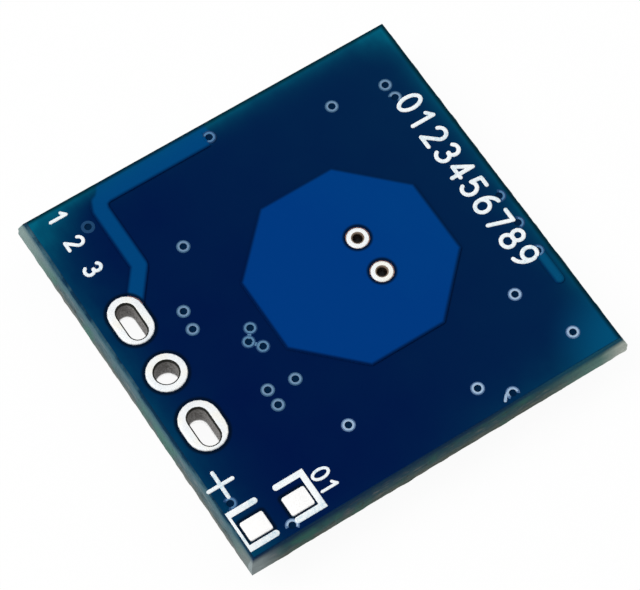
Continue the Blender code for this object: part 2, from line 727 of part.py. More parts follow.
def end_capped_mesh(name, size, finish):
    # A block whose metal ends stand a little proud of its middle
    length, width, height, end = size
    shape = bmesh.new()
    bmesh.ops.create_cube(shape, size=1.0)
    bmesh.ops.scale(shape, vec=(length, width, height), verts=shape.verts)
    bmesh.ops.bevel(
        shape,
        geom=shape.edges[:],
        offset=END_EDGE_BEVEL,
        offset_type="OFFSET",
        affect="EDGES",
        segments=1,
        profile=0.5,
    )
    waist = length / 2 - end
    for cut in (-waist, END_SWELL - waist, waist - END_SWELL, waist):
        everything = shape.verts[:] + shape.edges[:] + shape.faces[:]
        bmesh.ops.bisect_plane(shape, geom=everything, plane_co=(cut, 0, 0), plane_no=(1, 0, 0))
    middle = [vert for vert in shape.verts if abs(vert.co.x) < waist - END_SWELL / 2]
    thinner = (1, 1 - 2 * END_SWELL / width, 1 - 2 * END_SWELL / height)
    bmesh.ops.scale(shape, vec=thinner, verts=middle)
    bmesh.ops.translate(shape, vec=(0, 0, height / 2), verts=shape.verts)
    mesh = bpy.data.meshes.new(name)
    shape.to_mesh(mesh)
    shape.free()
    paint(mesh, finish)
    return mesh


def make_chip_parts():
    kinds = (
        ("large_capacitor", LARGE_CAPACITOR, "ceramic", LARGE_CAPACITOR_SPOTS),
        ("small_capacitor", SMALL_CAPACITOR, "ceramic", SMALL_CAPACITOR_SPOTS),
        ("small_resistor", SMALL_RESISTOR, "resistor", SMALL_RESISTOR_SPOTS),
    )
    for name, size, finish, spots in kinds:
        mesh = end_capped_mesh(name, size, finish)
        for number, spot in enumerate(spots, 1):
            piece = place(f"{name}_{number}", mesh)
            hang(piece, *spot)


def shift_layout():
    # Everything but the board and its masks rides on the layout
    layout = bpy.data.objects.new("layout", None)
    parts.objects.link(layout)
    for piece in (*parts.objects, *cutters.objects):
        stays = piece is layout or piece.name in ("board_laminate", "front_mask", "back_mask")
        if piece.parent is None and not stays:
            piece.parent = layout
    layout.location.x = LAYOUT_SHIFT


make_laminate()
make_front_copper()
make_back_copper()
make_front_mask()
make_back_mask()
make_pin_eyelets()
make_round_eyelets()
make_led_pads()
make_chip()
make_regulator()
make_chip_parts()
shift_layout()
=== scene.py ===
import math

import bmesh
import bpy
from mathutils import Matrix, Vector, noise


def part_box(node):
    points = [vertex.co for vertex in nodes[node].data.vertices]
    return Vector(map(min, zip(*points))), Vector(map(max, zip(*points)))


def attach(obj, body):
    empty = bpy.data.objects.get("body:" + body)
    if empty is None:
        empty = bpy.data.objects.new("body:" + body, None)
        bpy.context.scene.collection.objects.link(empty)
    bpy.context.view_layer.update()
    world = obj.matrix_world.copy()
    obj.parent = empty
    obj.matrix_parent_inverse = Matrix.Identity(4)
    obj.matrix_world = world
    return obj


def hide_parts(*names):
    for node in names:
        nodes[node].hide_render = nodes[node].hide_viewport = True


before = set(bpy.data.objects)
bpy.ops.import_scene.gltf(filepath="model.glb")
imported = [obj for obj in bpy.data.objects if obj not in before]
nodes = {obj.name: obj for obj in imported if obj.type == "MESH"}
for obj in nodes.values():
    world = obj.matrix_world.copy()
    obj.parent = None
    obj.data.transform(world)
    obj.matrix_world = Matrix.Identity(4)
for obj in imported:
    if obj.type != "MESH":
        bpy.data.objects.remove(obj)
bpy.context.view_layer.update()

mm = 0.001


def boxOf(nodeName):
    # Lowest and highest corners of a CAD node, in millimetres
    return tuple(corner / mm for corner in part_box(nodeName))


def middleOf(nodeName):
    low, high = boxOf(nodeName)
    return (low + high) / 2


def longAxis(size):
    # 0 for X and 1 for Y
    return 0 if size.x > size.y else 1


# Levels and edges read from the frame, in millimetres
boardLow, boardHigh = boxOf("board_laminate")
maskLow, maskHigh = boxOf("front_mask")
backMaskLow, backMaskHigh = boxOf("back_mask")
halfFace = maskHigh.x            # half the side of the front coat
halfBack = backMaskHigh.x
halfWeb = boardHigh.x            # half the side of the snapped board
coatThickness = 0.03
frontFace = maskLow.z + coatThickness  # outer face of the front coat, where nothing lies under it
frontRise = maskHigh.z                 # outer face of the coat over copper
backFace = backMaskHigh.z - coatThickness
backRise = backMaskLow.z
patchMiddle = middleOf("antenna_patch")
layoutShift = patchMiddle.x      # the layout lies a little off the middle of the snapped board


def onLayout(x, y):
    return x + layoutShift, y


def srgb(red, green, blue, light=1.0):
    # A colour as a picture shows it under so much light, 0 to 255, made linear
    linear = []
    for part in (red, green, blue):
        share = part / 255
        plain = share / 12.92 if share <= 0.04045 else ((share + 0.055) / 1.055) ** 2.4
        linear.append(plain / light)
    return (*linear, 1.0)


# Shader helpers. Patterns are drawn in millimetres on Object coordinates.


drawing = {"tree": None}  # the node tree that the helpers add to


def openTree(owner):
    owner.use_nodes = True
    drawing["tree"] = owner.node_tree
    return owner.node_tree.nodes


def link(value, socket):
    drawing["tree"].links.new(value, socket)


def addNode(kind, values=None, **settings):
    node = drawing["tree"].nodes.new("ShaderNode" + kind)
    for name, value in settings.items():
        setattr(node, name, value)
    for name, value in (values or {}).items():
        if isinstance(value, bpy.types.NodeSocket):
            link(value, node.inputs[name])
        else:
            node.inputs[name].default_value = value
    return node


def calc(operation, *values):
    # From value to value, but MULTIPLY_ADD takes its three at once
    if len(values) < 3 or operation == "MULTIPLY_ADD":
        return addNode("Math", dict(enumerate(values)), operation=operation).outputs[0]
    return calc(operation, calc(operation, *values[:-1]), values[-1])


def product(*factors):
    return calc("MULTIPLY", *factors)


def blend(share, first, second):
    return addNode("Mix", {0: share, 6: first, 7: second}, data_type="RGBA").outputs[2]


def spread(value, low, high, newLow=0.0, newHigh=1.0, smooth=False):
    ways = {"Value": value, "From Min": low, "From Max": high, "To Min": newLow, "To Max": newHigh}
    kind = "SMOOTHSTEP" if smooth else "LINEAR"
    return addNode("MapRange", ways, interpolation_type=kind).outputs[0]


def fromNoise(value, newLow, newHigh):
    # A noise stays mostly between 0.3 and 0.7
    return spread(value, 0.3, 0.7, newLow, newHigh)


def millimetres(stretch=(1, 1, 1)):
    coordinate = addNode("TexCoord").outputs["Object"]
    scale = tuple(part / mm for part in stretch)
    return addNode("Mapping", {"Vector": coordinate, "Scale": scale}).outputs[0]


def axesOf(vector):
    return addNode("SeparateXYZ", {0: vector}).outputs


def onPlane(x, y):
    return addNode("CombineXYZ", {0: x, 1: y}).outputs[0]


def speckle(place, scale, detail=2.0, roughness=0.5):
    values = {"Vector": place, "Scale": scale, "Detail": detail, "Roughness": roughness}
    return addNode("TexNoise", values).outputs["Fac"]


def ramp(value, stops, light=1.0):
    # Colours at rising shares: share, red, green and blue
    node = addNode("ValToRGB", {"Fac": value})
    elements = node.color_ramp.elements
    for k, (share, *colour) in enumerate(stops):
        element = elements[k] if k < 2 else elements.new(share)
        element.position = share
        element.color = srgb(*colour, light)
    return node.outputs[0]


def vectorNode(operation, values):
    return addNode("VectorMath", values, operation=operation).outputs


def farness(place, spot):
    return vectorNode("DISTANCE", {0: place, 1: spot})["Value"]


def relief(height, depth, strength=1.0):
    # Depth in millimetres
    values = {"Height": height, "Distance": depth * mm, "Strength": strength}
    return addNode("Bump", values).outputs[0]


def newMaterial(name, **fixed):
    material = bpy.data.materials.new(name)
    shader = openTree(material)["Principled BSDF"]
    for socket, value in fixed.items():
        shader.inputs[socket.replace("_", " ")].default_value = value
    return material, shader


def wire(shader, **sockets):
    for socket, value in sockets.items():
        link(value, shader.inputs[socket.replace("_", " ")])


def dress(material, colour, grain, rough, depth, strength):
    # Colour, and a grain that gives the roughness between two values and the relief
    shader = material.node_tree.nodes["Principled BSDF"]
    bump = relief(grain, depth, strength)
    wire(shader, Base_Color=colour, Roughness=fromNoise(grain, *rough), Normal=bump)
    return material


def grained(name, fine, coarse, **fixed):
    # A new material, with a fine noise and a coarse one
    material, shader = newMaterial(name, **fixed)
    place = millimetres()
    return material, speckle(place, *fine), speckle(place, *coarse)


# Mesh helpers. Shapes are worked out in millimetres and finished in metres.


def placed(name, data):
    thing = bpy.data.objects.new(name, data)
    bpy.context.scene.collection.objects.link(thing)
    return thing


def finish(shape, name, materials, slot=None, replaces=(), smoothBelow=40):
    bmesh.ops.scale(shape, vec=(mm, mm, mm), verts=shape.verts)
    mesh = bpy.data.meshes.new(name)
    shape.to_mesh(mesh)
    shape.free()
    for material in materials:
        mesh.materials.append(material)
    mesh.shade_smooth()
    mesh.set_sharp_from_angle(angle=math.radians(smoothBelow))
    piece = placed(name, mesh)
    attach(piece, "root")
    if replaces:
        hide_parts(*replaces)


def faceOutward(shape):
    bmesh.ops.recalc_face_normals(shape, faces=shape.faces)


def topFace(shape):
    return max(shape.faces, key=lambda face: face.calc_center_median().z)


doubles = 0.0005  # points nearer than this are one


def mergedCopy(nodeName):
    # A CAD node's shape in millimetres, with its loose triangles joined and its flats made whole
    shape = bmesh.new()
    shape.from_mesh(nodes[nodeName].data)
    bmesh.ops.scale(shape, vec=(1 / mm, 1 / mm, 1 / mm), verts=shape.verts)
    bmesh.ops.remove_doubles(shape, verts=shape.verts, dist=doubles)
    flat = math.radians(0.5)
    bmesh.ops.dissolve_limit(shape, angle_limit=flat, verts=shape.verts, edges=shape.edges)
    return shape


def bevelEdges(shape, edges, width, segments=2):
    ways = {"offset_type": "OFFSET", "affect": "EDGES", "profile": 0.5, "material": -1}
    ways["clamp_overlap"] = True
    return bmesh.ops.bevel(shape, geom=edges, offset=width, segments=segments, **ways)


def sharpEdges(shape, fromAngle=30):
    least = math.radians(fromAngle)
    return [edge for edge in shape.edges if edge.is_manifold and edge.calc_face_angle() > least]


def isUpright(edge):
    return abs(edge.verts[0].co.z - edge.verts[1].co.z) > 0.01


def rimAt(shape, level, fromAngle=60, within=0.001):
    # The sharp edges that lie at a level
    edges = sharpEdges(shape, fromAngle)
    return [edge for edge in edges if all(abs(vert.co.z - level) < within for vert in edge.verts)]


def block(shape, low, high):
    # A box between two corners
    low, high = Vector(low), Vector(high)
    made = bmesh.ops.create_cube(shape, size=1.0)["verts"]
    bmesh.ops.scale(shape, vec=high - low, verts=made)
    bmesh.ops.translate(shape, vec=(low + high) / 2, verts=made)
    return made


# Finishes


maskLook = {
    "fieldLow": srgb(0, 20, 68),
    "fieldHigh": srgb(2, 36, 74),
    "patch": srgb(0, 57, 128),
    "patchPale": srgb(0, 62, 130),
    "track": srgb(1, 67, 122),
    "shortTrack": srgb(4, 74, 116),
    "edgeGlow": srgb(3, 94, 120),
    "cornerGlow": srgb(2, 82, 122),
    # painted shade along the coat's two far edges
    "farRimShade": srgb(3, 26, 32),
    "darkGap": srgb(3, 15, 32),
    # Where each blend starts, where it ends, and how strong it is
    "supplyBlend": (0.36, 0.2, 0, 1),
    "shortBlend": (0.24, 0.06, 0, 1),
    "patchBlend": (3.83, 3.69, 0, 1),
    "gapBlend": (0.18, 0.06, 0, 0.9),
    "farRimShadeBlend": (0.18, 0.05, 0, 0.85),
    "cornerBlend": (2.9, 0.3, 0, 0.75),
    # Bare metal and how round its corners are
    "bareMetal": {
        "led_pad_1": 0.05,
        "led_pad_2": 0.05,
        "pin_eyelet_1": 0.7,
        "pin_eyelet_2": 0.77,
        "pin_eyelet_3": 0.78,
        "feed_eyelet_left": 0.43,
        "feed_eyelet_right": 0.43,
    },
    # axis, side, strength and reach of the light at each edge
    "edges": (("x", -1, 0.9, 0.28), ("y", 1, 0.62, 0.3), ("y", -1, 0.26, 0.8), ("x", 1, 0.2, 0.6)),
    # x side, y side, strength and reach of the light at each corner
    "corners": ((-1, 1, 0.42, 2.1), (-1, -1, 0.56, 2.5), (1, -1, 0.22, 1.6)),
}


def octagonReach(x, y):
    # Distance from the antenna's middle, counted square to the nearest of its eight sides
    across = calc("ABSOLUTE", calc("SUBTRACT", x, patchMiddle.x))
    along = calc("ABSOLUTE", calc("SUBTRACT", y, patchMiddle.y))
    slanted = product(calc("ADD", across, along), math.sqrt(0.5))
    return calc("MAXIMUM", across, along, slanted)


def fromBox(x, y, nodeName, rounding=0.0):
    # How far outside a node's rectangle a place lies, its corners rounded
    low, high = boxOf(nodeName)
    middle, size = (low + high) / 2, (high - low) / 2
    parts = []
    for value, centre, reach in ((x, middle.x, size.x), (y, middle.y, size.y)):
        off = calc("ABSOLUTE", calc("SUBTRACT", value, centre))
        parts.append(calc("MAXIMUM", calc("SUBTRACT", off, reach - rounding), 0.0))
    far = calc("SQRT", calc("ADD", *[product(part, part) for part in parts]))
    return calc("SUBTRACT", far, rounding)


# Where the supply track's middle line runs, in millimetres
supplyLook = {
    "pinPitch": 2.5,
    "overPad": 0.72,  # its level above the pad of the first pin
    "bend": 0.45,
    "bendMiddle": 0.13,
    "beforeVia": 0.15,
    "turnFromPin": 1.75,
    "chamfer": 0.355,
    "widening": (-0.35, 0.15),  # where the stretch at the edge widens out to the board's side
}


def supplyRoute():
    # Down the left edge, round the bend and along to the first pin
    look = supplyLook
    start, pin = middleOf("via_01"), middleOf("pin_eyelet_2")
    level, pinX = boxOf("pin_eyelet_1")[1].y + look["overPad"], pin.x - look["pinPitch"]
    bend, middle, chamfer = look["bend"], look["bendMiddle"], look["chamfer"]
    return [
        (start.x, start.y - look["beforeVia"]),
        (start.x, level + bend),
        (start.x + middle, level + middle),
        (start.x + bend, level),
        (pinX - look["turnFromPin"], level),
        (pinX - chamfer, pin.y + chamfer),
    ]


def shortRoute():
    middle, (low, high) = middleOf("edge_track"), boxOf("edge_track")
    return [(low.x, middle.y), (high.x, middle.y)]


def fromRoute(flat, points):
    # How far a place in the plane lies from a line through points
    nearest = None
    for first, last in zip(points, points[1:]):
        first, last = Vector((*first, 0)), Vector((*last, 0))
        way = last - first
        offset = vectorNode("SUBTRACT", {0: flat, 1: first})[0]
        dot = vectorNode("DOT_PRODUCT", {0: offset, 1: way})["Value"]
        share = spread(dot, 0, way.length_squared)
        foot = vectorNode("SCALE", {0: way, "Scale": share})[0]
        far = farness(offset, foot)
        nearest = far if nearest is None else calc("MINIMUM", nearest, far)
    return nearest


def maskMaterial(name, copperLevel, fieldLevel, half, front=True):
    look = maskLook
    material, shader = newMaterial(name, Specular_IOR_Level=0.006)
    place = millimetres()
    x, y, z = axesOf(place)
    # Field: lighter towards the corner between the left and far edges
    slope = calc("MULTIPLY_ADD", x, -0.25, y)
    slope = calc("ADD", slope, fromNoise(speckle(place, 0.45, 3), -1.4, 1.4))
    field = blend(spread(slope, -6.5, 8.5), look["fieldLow"], look["fieldHigh"])
    # Copper under the coat, on the front by its outline and on the back by the coat's level
    if front:
        route = supplyRoute()
        bendLevel = route[1][1]
        onEdge = spread(y, *[bendLevel + part for part in supplyLook["widening"]])
        inside = calc("SUBTRACT", calc("MAXIMUM", x, route[0][0]), x)
        widened = onPlane(calc("MULTIPLY_ADD", inside, onEdge, x), y)
        farSupply = fromRoute(widened, route)
        farShort = fromRoute(onPlane(x, y), shortRoute())
        overShort = spread(farShort, *look["shortBlend"], smooth=True)
        overTrack = spread(farSupply, *look["supplyBlend"], smooth=True)
        overPatch = spread(octagonReach(x, y), *look["patchBlend"], smooth=True)
        patch = blend(spread(slope, 1.0, 7.5), look["patch"], look["patchPale"])
        colour = blend(overShort, field, look["shortTrack"])
        colour = blend(overTrack, colour, look["track"])
        colour = blend(overPatch, colour, patch)
        overCopper = calc("MAXIMUM", overTrack, overPatch)
    else:
        overCopper = spread(z, fieldLevel, copperLevel)
        colour = blend(overCopper, field, look["track"])
    # Light that comes in at the edges, most of it at three corners
    glows = []
    inward = {}
    for axis, side, strength, reach in look["edges"]:
        way = calc("MULTIPLY_ADD", x if axis == "x" else y, -side, half)
        inward[axis, side] = way
        fade = calc("EXPONENT", product(way, -1 / reach))
        if (axis, side) == ("x", 1):
            fade = product(fade, spread(y, 0, 5.5, 0.12, 1))
        elif (axis, side) == ("y", 1):
            fade = product(fade, spread(x, 5, 7.5, 1, 0.3))
        glows.append(product(fade, strength))
    for sideX, sideY, strength, reach in look["corners"]:
        far = farness(place, (sideX * half, sideY * half, copperLevel))
        glows.append(spread(far, reach, 0, 0, strength, smooth=True))
    broad = speckle(place, 0.9, 3)
    streaks = speckle(millimetres((0.5, 2.4, 1)), 2.6, 3)
    wander = product(fromNoise(broad, 0.75, 1.25), fromNoise(streaks, 0.93, 1.07))
    glow = product(calc("ADD", *glows), wander, spread(overCopper, 0, 1, 1, 0.45))
    colour = blend(calc("MINIMUM", glow, 1.0), colour, look["edgeGlow"])
    far = farness(place, (half, half, copperLevel))
    share = spread(far, *look["cornerBlend"], smooth=True)
    colour = blend(share, colour, look["cornerGlow"])
    # Dark gaps round the bare metal, and a thin dark rim of painted shade along the far edges,
    # where the scored edge lies in shade
    if front:
        for nodeName, rounding in look["bareMetal"].items():
            gap = fromBox(x, y, nodeName, rounding)
            share = spread(gap, *look["gapBlend"], smooth=True)
            colour = blend(share, colour, look["darkGap"])
        ragged = calc("MULTIPLY_ADD", speckle(place, 3.5, 4), 0.05, -0.025)
        nearest = calc("MINIMUM", inward["x", -1], inward["y", 1])
        rim = spread(calc("ADD", nearest, ragged), *look["farRimShadeBlend"])
        colour = blend(rim, colour, look["farRimShade"])
    # Painted light: the steep walls where the coat climbs take the lighter patch colour, so that
    # their shade doesn't show as a dark line
    facing = axesOf(addNode("NewGeometry").outputs["Normal"])[2]
    steepWallLight = spread(calc("ABSOLUTE", facing), 0.7, 0.4, 0, 0.7)
    colour = blend(steepWallLight, colour, look["patch"])
    weave = speckle(millimetres((1, 1, 0.2)), 9, 5, 0.6)
    return dress(material, colour, weave, (0.36, 0.5), 0.004, 0.5)


plainTin, creamTin = (240, 243, 244), (243, 241, 232)


def tinMaterial(name, bright, dull, metallic, sheen):
    material, shader = newMaterial(name, Metallic=metallic, Specular_IOR_Level=sheen)
    place = millimetres()
    pools = speckle(place, 1.1, 2)
    grains = speckle(place, 14, 4, 0.6)
    colour = srgb(*bright)
    if bright is plainTin:
        colour = blend(spread(pools, 0.5, 0.7), colour, srgb(*creamTin))
    wear = product(spread(pools, 0.52, 0.25), spread(grains, 0.42, 0.75))
    colour = blend(wear, colour, srgb(*dull))
    rough, bump = fromNoise(grains, 0.26, 0.44), relief(pools, 0.03, 0.6)
    wire(shader, Base_Color=colour, Roughness=rough, Normal=bump)
    return material


# Plating inside a hole: dark at the rim as painted shade, grey and grainy below, and under the
# pins' holes a bright foot of painted light where light comes in; the feed holes are painted dark
# all the way down as shade
barrelLook = {
    "pinBarrel": {
        "rim": srgb(36, 37, 33),
        "wall": srgb(178, 176, 174),
        "deep": srgb(112, 108, 104),
        "rimShadeDepth": 0.14,
        "foot": srgb(255, 255, 255),
        "litFootLevels": (1.66, 1.54),
    },
    # Painted shade: the feed holes' walls are dark brown to black, as light doesn't reach into
    # them
    "feedBarrelShade": {
        "rim": srgb(128, 112, 98),
        "wall": srgb(44, 26, 12),
        "deep": srgb(8, 5, 4),
        "rimShadeDepth": 0.075,
        "foot": None,
    },
}


def barrelMaterial(name):
    look = barrelLook[name]
    material, shader = newMaterial(name, Metallic=0.1, Specular_IOR_Level=0.1)
    place = millimetres()
    z = axesOf(place)[2]
    grains = speckle(place, 13, 5, 0.75)
    colour = blend(spread(grains, 0.38, 0.62), look["wall"], look["deep"])
    level = calc("MULTIPLY_ADD", grains, 0.05, z)
    rough = fromNoise(grains, 0.45, 0.7)
    # Painted light: a bright foot low in the pins' holes, where light comes in from below
    if look["foot"]:
        bright = spread(level, *look["litFootLevels"])
        colour = blend(bright, colour, look["foot"])
        rough = spread(bright, 0, 1, rough, 0.12)
        wire(shader, Metallic=spread(bright, 0, 1, 0.1, 1))
    # Painted shade at the top of the hole's wall
    top, depth = frontFace + 0.04, look["rimShadeDepth"]
    share = spread(level, top - depth, top - depth / 3)
    colour = blend(share, colour, look["rim"])
    bump = relief(grains, 0.02, 0.5)
    wire(shader, Base_Color=colour, Roughness=rough, Normal=bump)
    return material


# Colours from the foot of the snapped edge up to the face, on the pin side and on the right side.
# The right side is painted darker than the pin side, partly as painted shade that rightLight does
# not take out, and its foot is painted dark brown as the shade under the lower scored face
rightLight = 0.6
laminateLook = {
    "pinSide": (
        (0.0, 134, 139, 136),
        (0.2, 116, 124, 121),
        (0.36, 98, 109, 107),
        (0.52, 84, 103, 107),
        (0.78, 88, 116, 126),
        (0.88, 72, 106, 118),
        (0.955, 42, 80, 98),
        (0.995, 8, 50, 76),
    ),
    # darker than the pin side, partly painted shade; its foot is painted shade
    "rightSideShaded": (
        (0.0, 50, 44, 36),
        (0.06, 69, 77, 71),
        (0.2, 69, 78, 72),
        (0.34, 60, 74, 71),
        (0.48, 52, 69, 71),
        (0.6, 43, 65, 72),
        (0.72, 28, 53, 67),
        (0.82, 16, 43, 62),
        (0.93, 7, 35, 60),
    ),
    "green": srgb(78, 124, 112),
    "greenRightShaded": srgb(46, 86, 74, rightLight),
    "beige": srgb(150, 146, 138),
    "beigeRightShaded": srgb(104, 98, 90, rightLight),
    "brown": srgb(62, 58, 50),
    # Glass that shows at a corner: x, y, strength, reach, how far below the face, side and colour
    "corners": (
        (-1, -1, 0.9, 3.2, 0.01, "pinSide", srgb(134, 155, 152)),
        (1, -1, 0.9, 1.8, 0.04, "pinSide", srgb(124, 133, 132)),
        (1, -1, 0.95, 1.5, 0.04, "rightSideShaded", srgb(118, 127, 128, rightLight)),
        (1, 1, 0.75, 4.2, 0.13, "rightSideShaded", srgb(88, 122, 114, rightLight)),
        (1, 1, 0.95, 1.3, 0.13, "rightSideShaded", srgb(160, 164, 156, rightLight)),
    ),
    "cornerTop": srgb(13, 62, 80, rightLight),
    # painted shade along the two far sides
    "dark": srgb(3, 26, 32),
}


def laminateMaterial():
    look = laminateLook
    material, shader = newMaterial("laminateSnapped", Specular_IOR_Level=0.1, Roughness=0.85)
    place = millimetres()
    x, y, z = axesOf(place)
    patches = speckle(place, 0.7, 3, 0.55)
    layers = speckle(millimetres((1, 1, 7)), 1.6, 4, 0.6)
    fibres = speckle(millimetres((1, 1, 0.35)), 9, 5, 0.7)
    onRight = spread(x, halfFace - 0.06, halfFace - 0.02)

    def bySide(left, right):
        return blend(onRight, left, right)

    def under(start, end):
        # From one depth under the face to another
        return spread(z, boardHigh.z - start, boardHigh.z - end)

    wavering = (fromNoise(layers, -0.08, 0.04), fromNoise(patches, -0.07, 0.05))
    height = calc("ADD", spread(z, boardLow.z, boardHigh.z), *wavering)
    pinSide = ramp(height, look["pinSide"])
    colour = bySide(pinSide, ramp(height, look["rightSideShaded"], rightLight))
    # Patches of resin and of bare glass, strongest half way up
    body = under(0.1, 0.35)
    green = product(body, spread(patches, 0.48, 0.62, 0, 0.7))
    colour = blend(green, colour, bySide(look["green"], look["greenRightShaded"]))
    bare = product(spread(layers, 0.52, 0.66, 0, 0.6), spread(patches, 0.56, 0.42))
    beige = product(body, bare)
    colour = blend(beige, colour, bySide(look["beige"], look["beigeRightShaded"]))
    fringe = product(under(0.5, 0.3), under(0.08, 0.2), spread(y, -2, 4), onRight)
    fringe = product(fringe, spread(patches, 0.4, 0.6, 0.2, 0.7))
    colour = blend(fringe, colour, look["greenRightShaded"])
    dark = product(spread(layers, 0.47, 0.36), spread(fibres, 0.42, 0.6))
    colour = blend(product(body, dark, 0.75), colour, look["brown"])
    # Light through the laminate at the far right corner, and bare glass at three corners
    flat = onPlane(x, y)
    far = farness(flat, (halfWeb, halfWeb, 0))
    top = product(spread(far, 6.5, 1, smooth=True), under(0.3, 0.1), onRight)
    colour = blend(top, colour, look["cornerTop"])
    onPin = spread(y, -halfFace + 0.06, -halfFace + 0.02)
    onPin = product(onPin, calc("SUBTRACT", 1.0, onRight))
    wavering = fromNoise(patches, 0.8, 1.2)
    for sideX, sideY, strength, reach, depth, side, shade in look["corners"]:
        far = farness(flat, (sideX * halfWeb, sideY * halfWeb, 0))
        near = spread(far, reach, 0.1, 0, strength, smooth=True)
        where = onRight if side == "rightSideShaded" else onPin
        share = product(near, where, under(depth, depth + 0.22), wavering)
        colour = blend(share, colour, shade)
    # A dark rim of painted shade along the two far sides, where the scored edge lies in shade
    farSide = spread(y, halfFace - 0.05, halfFace)
    farEdgeShade = calc("MAXIMUM", spread(x, -halfFace + 0.05, -halfFace), farSide)
    farEdgeShade = product(farEdgeShade, under(0.12, 0.04), 0.85)
    colour = blend(farEdgeShade, colour, look["dark"])
    relieved = calc("ADD", layers, product(fibres, 0.6))
    wire(shader, Base_Color=colour, Normal=relief(relieved, 0.04, 0.7))
    return material


inkLook = {"white": srgb(246, 250, 252), "thin": srgb(176, 210, 224)}


def inkMaterial():
    material, grain, broad = grained("legendInk", (10, 5, 0.7), (1.2, 2), Specular_IOR_Level=0.1)
    thin = product(spread(grain, 0.42, 0.7), spread(broad, 0.4, 0.6))
    colour = blend(thin, inkLook["white"], inkLook["thin"])
    return dress(material, colour, grain, (0.5, 0.7), 0.006, 0.6)


def mouldingMaterial():
    fine, coarse = (38, 4, 0.7), (1.4, 2)
    material, grain, broad = grained("blackMoulding", fine, coarse, Specular_IOR_Level=0.35)
    colour = blend(grain, srgb(34, 34, 36), srgb(52, 52, 54))
    colour = blend(spread(broad, 0.4, 0.7, 0, 0.4), colour, srgb(64, 63, 61))
    return dress(material, colour, grain, (0.5, 0.72), 0.012, 0.8)


def ceramicMaterial(name, first, second, roughness):
    material, grain, broad = grained(name, (24, 5, 0.65), (2.2, 3), Specular_IOR_Level=0.35)
    mixed = calc("MULTIPLY_ADD", grain, 0.5, product(broad, 0.5))
    colour = blend(spread(mixed, 0.35, 0.65), first, second)
    return dress(material, colour, grain, (roughness - 0.08, roughness + 0.08), 0.008, 0.6)


def copperMaterial():
    material, grain, broad = grained("copperFoil", (20, 4, 0.6), (1.5, 2), Metallic=1.0)
    colour = blend(broad, (0.78, 0.42, 0.25, 1), (0.68, 0.33, 0.2, 1))
    return dress(material, colour, grain, (0.3, 0.45), 0.004, 0.5)


frontCoat = maskMaterial("maskFront", frontRise - 0.01, frontFace + 0.01, halfFace)
backCoat = maskMaterial("maskBack", backRise + 0.01, backFace - 0.01, halfBack, front=False)
# Bright and dull colour, how metallic, and how much it shines
tinLook = {
    "tinBright": (plainTin, (200, 210, 222), 0.1, 0.1),
    "padTin": ((252, 251, 250), (232, 232, 234), 0.1, 0.1),
    "solderSatin": ((206, 208, 210), (160, 164, 170), 0.8, 0.1),
    "ringTin": ((156, 181, 208), (128, 156, 186), 0.05, 0.1),
    "ringMid": ((110, 140, 170), (86, 118, 150), 0.05, 0.05),
    "ringSoft": ((84, 114, 152), (56, 90, 132), 0.0, 0.1),
    "ringLow": ((62, 96, 126), (46, 80, 114), 0.0, 0.02),
    "ringPale": ((40, 72, 112), (24, 56, 98), 0.0, 0.02),
    "ringFaint": ((82, 124, 164), (58, 100, 140), 0.0, 0.1),
    "ringTeal": ((90, 130, 164), (58, 100, 138), 0.0, 0.1),
    "ringDark": ((34, 70, 108), (22, 58, 98), 0.0, 0.0),
    "viaFill": ((4, 32, 62), (2, 24, 54), 0.0, 0.0),
}
tins = {name: tinMaterial(name, *values) for name, values in tinLook.items()}
tin, solder = tins["tinBright"], tins["solderSatin"]
pinBarrel, feedBarrelShade = barrelMaterial("pinBarrel"), barrelMaterial("feedBarrelShade")
laminate = laminateMaterial()
ink = inkMaterial()
moulding = mouldingMaterial()
tanCeramic = ceramicMaterial("tanCeramic", srgb(176, 142, 106), srgb(150, 116, 84), 0.45)
blackGlaze = ceramicMaterial("blackGlaze", srgb(24, 24, 28), srgb(40, 40, 46), 0.3)
alumina = ceramicMaterial("alumina", srgb(232, 230, 224), srgb(214, 212, 204), 0.5)
copper = copperMaterial()
print("finishes made")


# Carried-over CAD nodes take a better finish


def repaint(nodeName, material):
    slots = nodes[nodeName].data.materials
    if len(slots) == 0:
        slots.append(material)
    for index in range(len(slots)):
        slots[index] = material


finishOfNode = {
    "board_laminate": laminate,
    "front_mask": frontCoat,
    "back_mask": backCoat,
    "antenna_patch": copper,
    "regulator_body": moulding,
}
for nodeName in nodes:
    plain = copper if "_track" in nodeName else solder
    repaint(nodeName, finishOfNode.get(nodeName, plain))
print("nodes painted")


# Snapped edge: a rough skin round the board's four sides


snappedEdge = {
    "proud": 0.012,
    "pinSideProud": 0.055,
    "webTop": boardHigh.z - 0.5,
    "webLow": boardLow.z + 0.2,
    "cutsAlong": 200,
    "cutsDown": 5,
    "scoreRoughness": 0.012,
    "webRoughness": 0.036,
    "insideHalf": 7.5,
    "withinFaces": 0.004,  # the skin stops this far inside the board's two faces
    "pastFace": 0.02,
    "rowShare": 0.65,
    "rimShare": 0.3,
    "sway": 0.05,
}


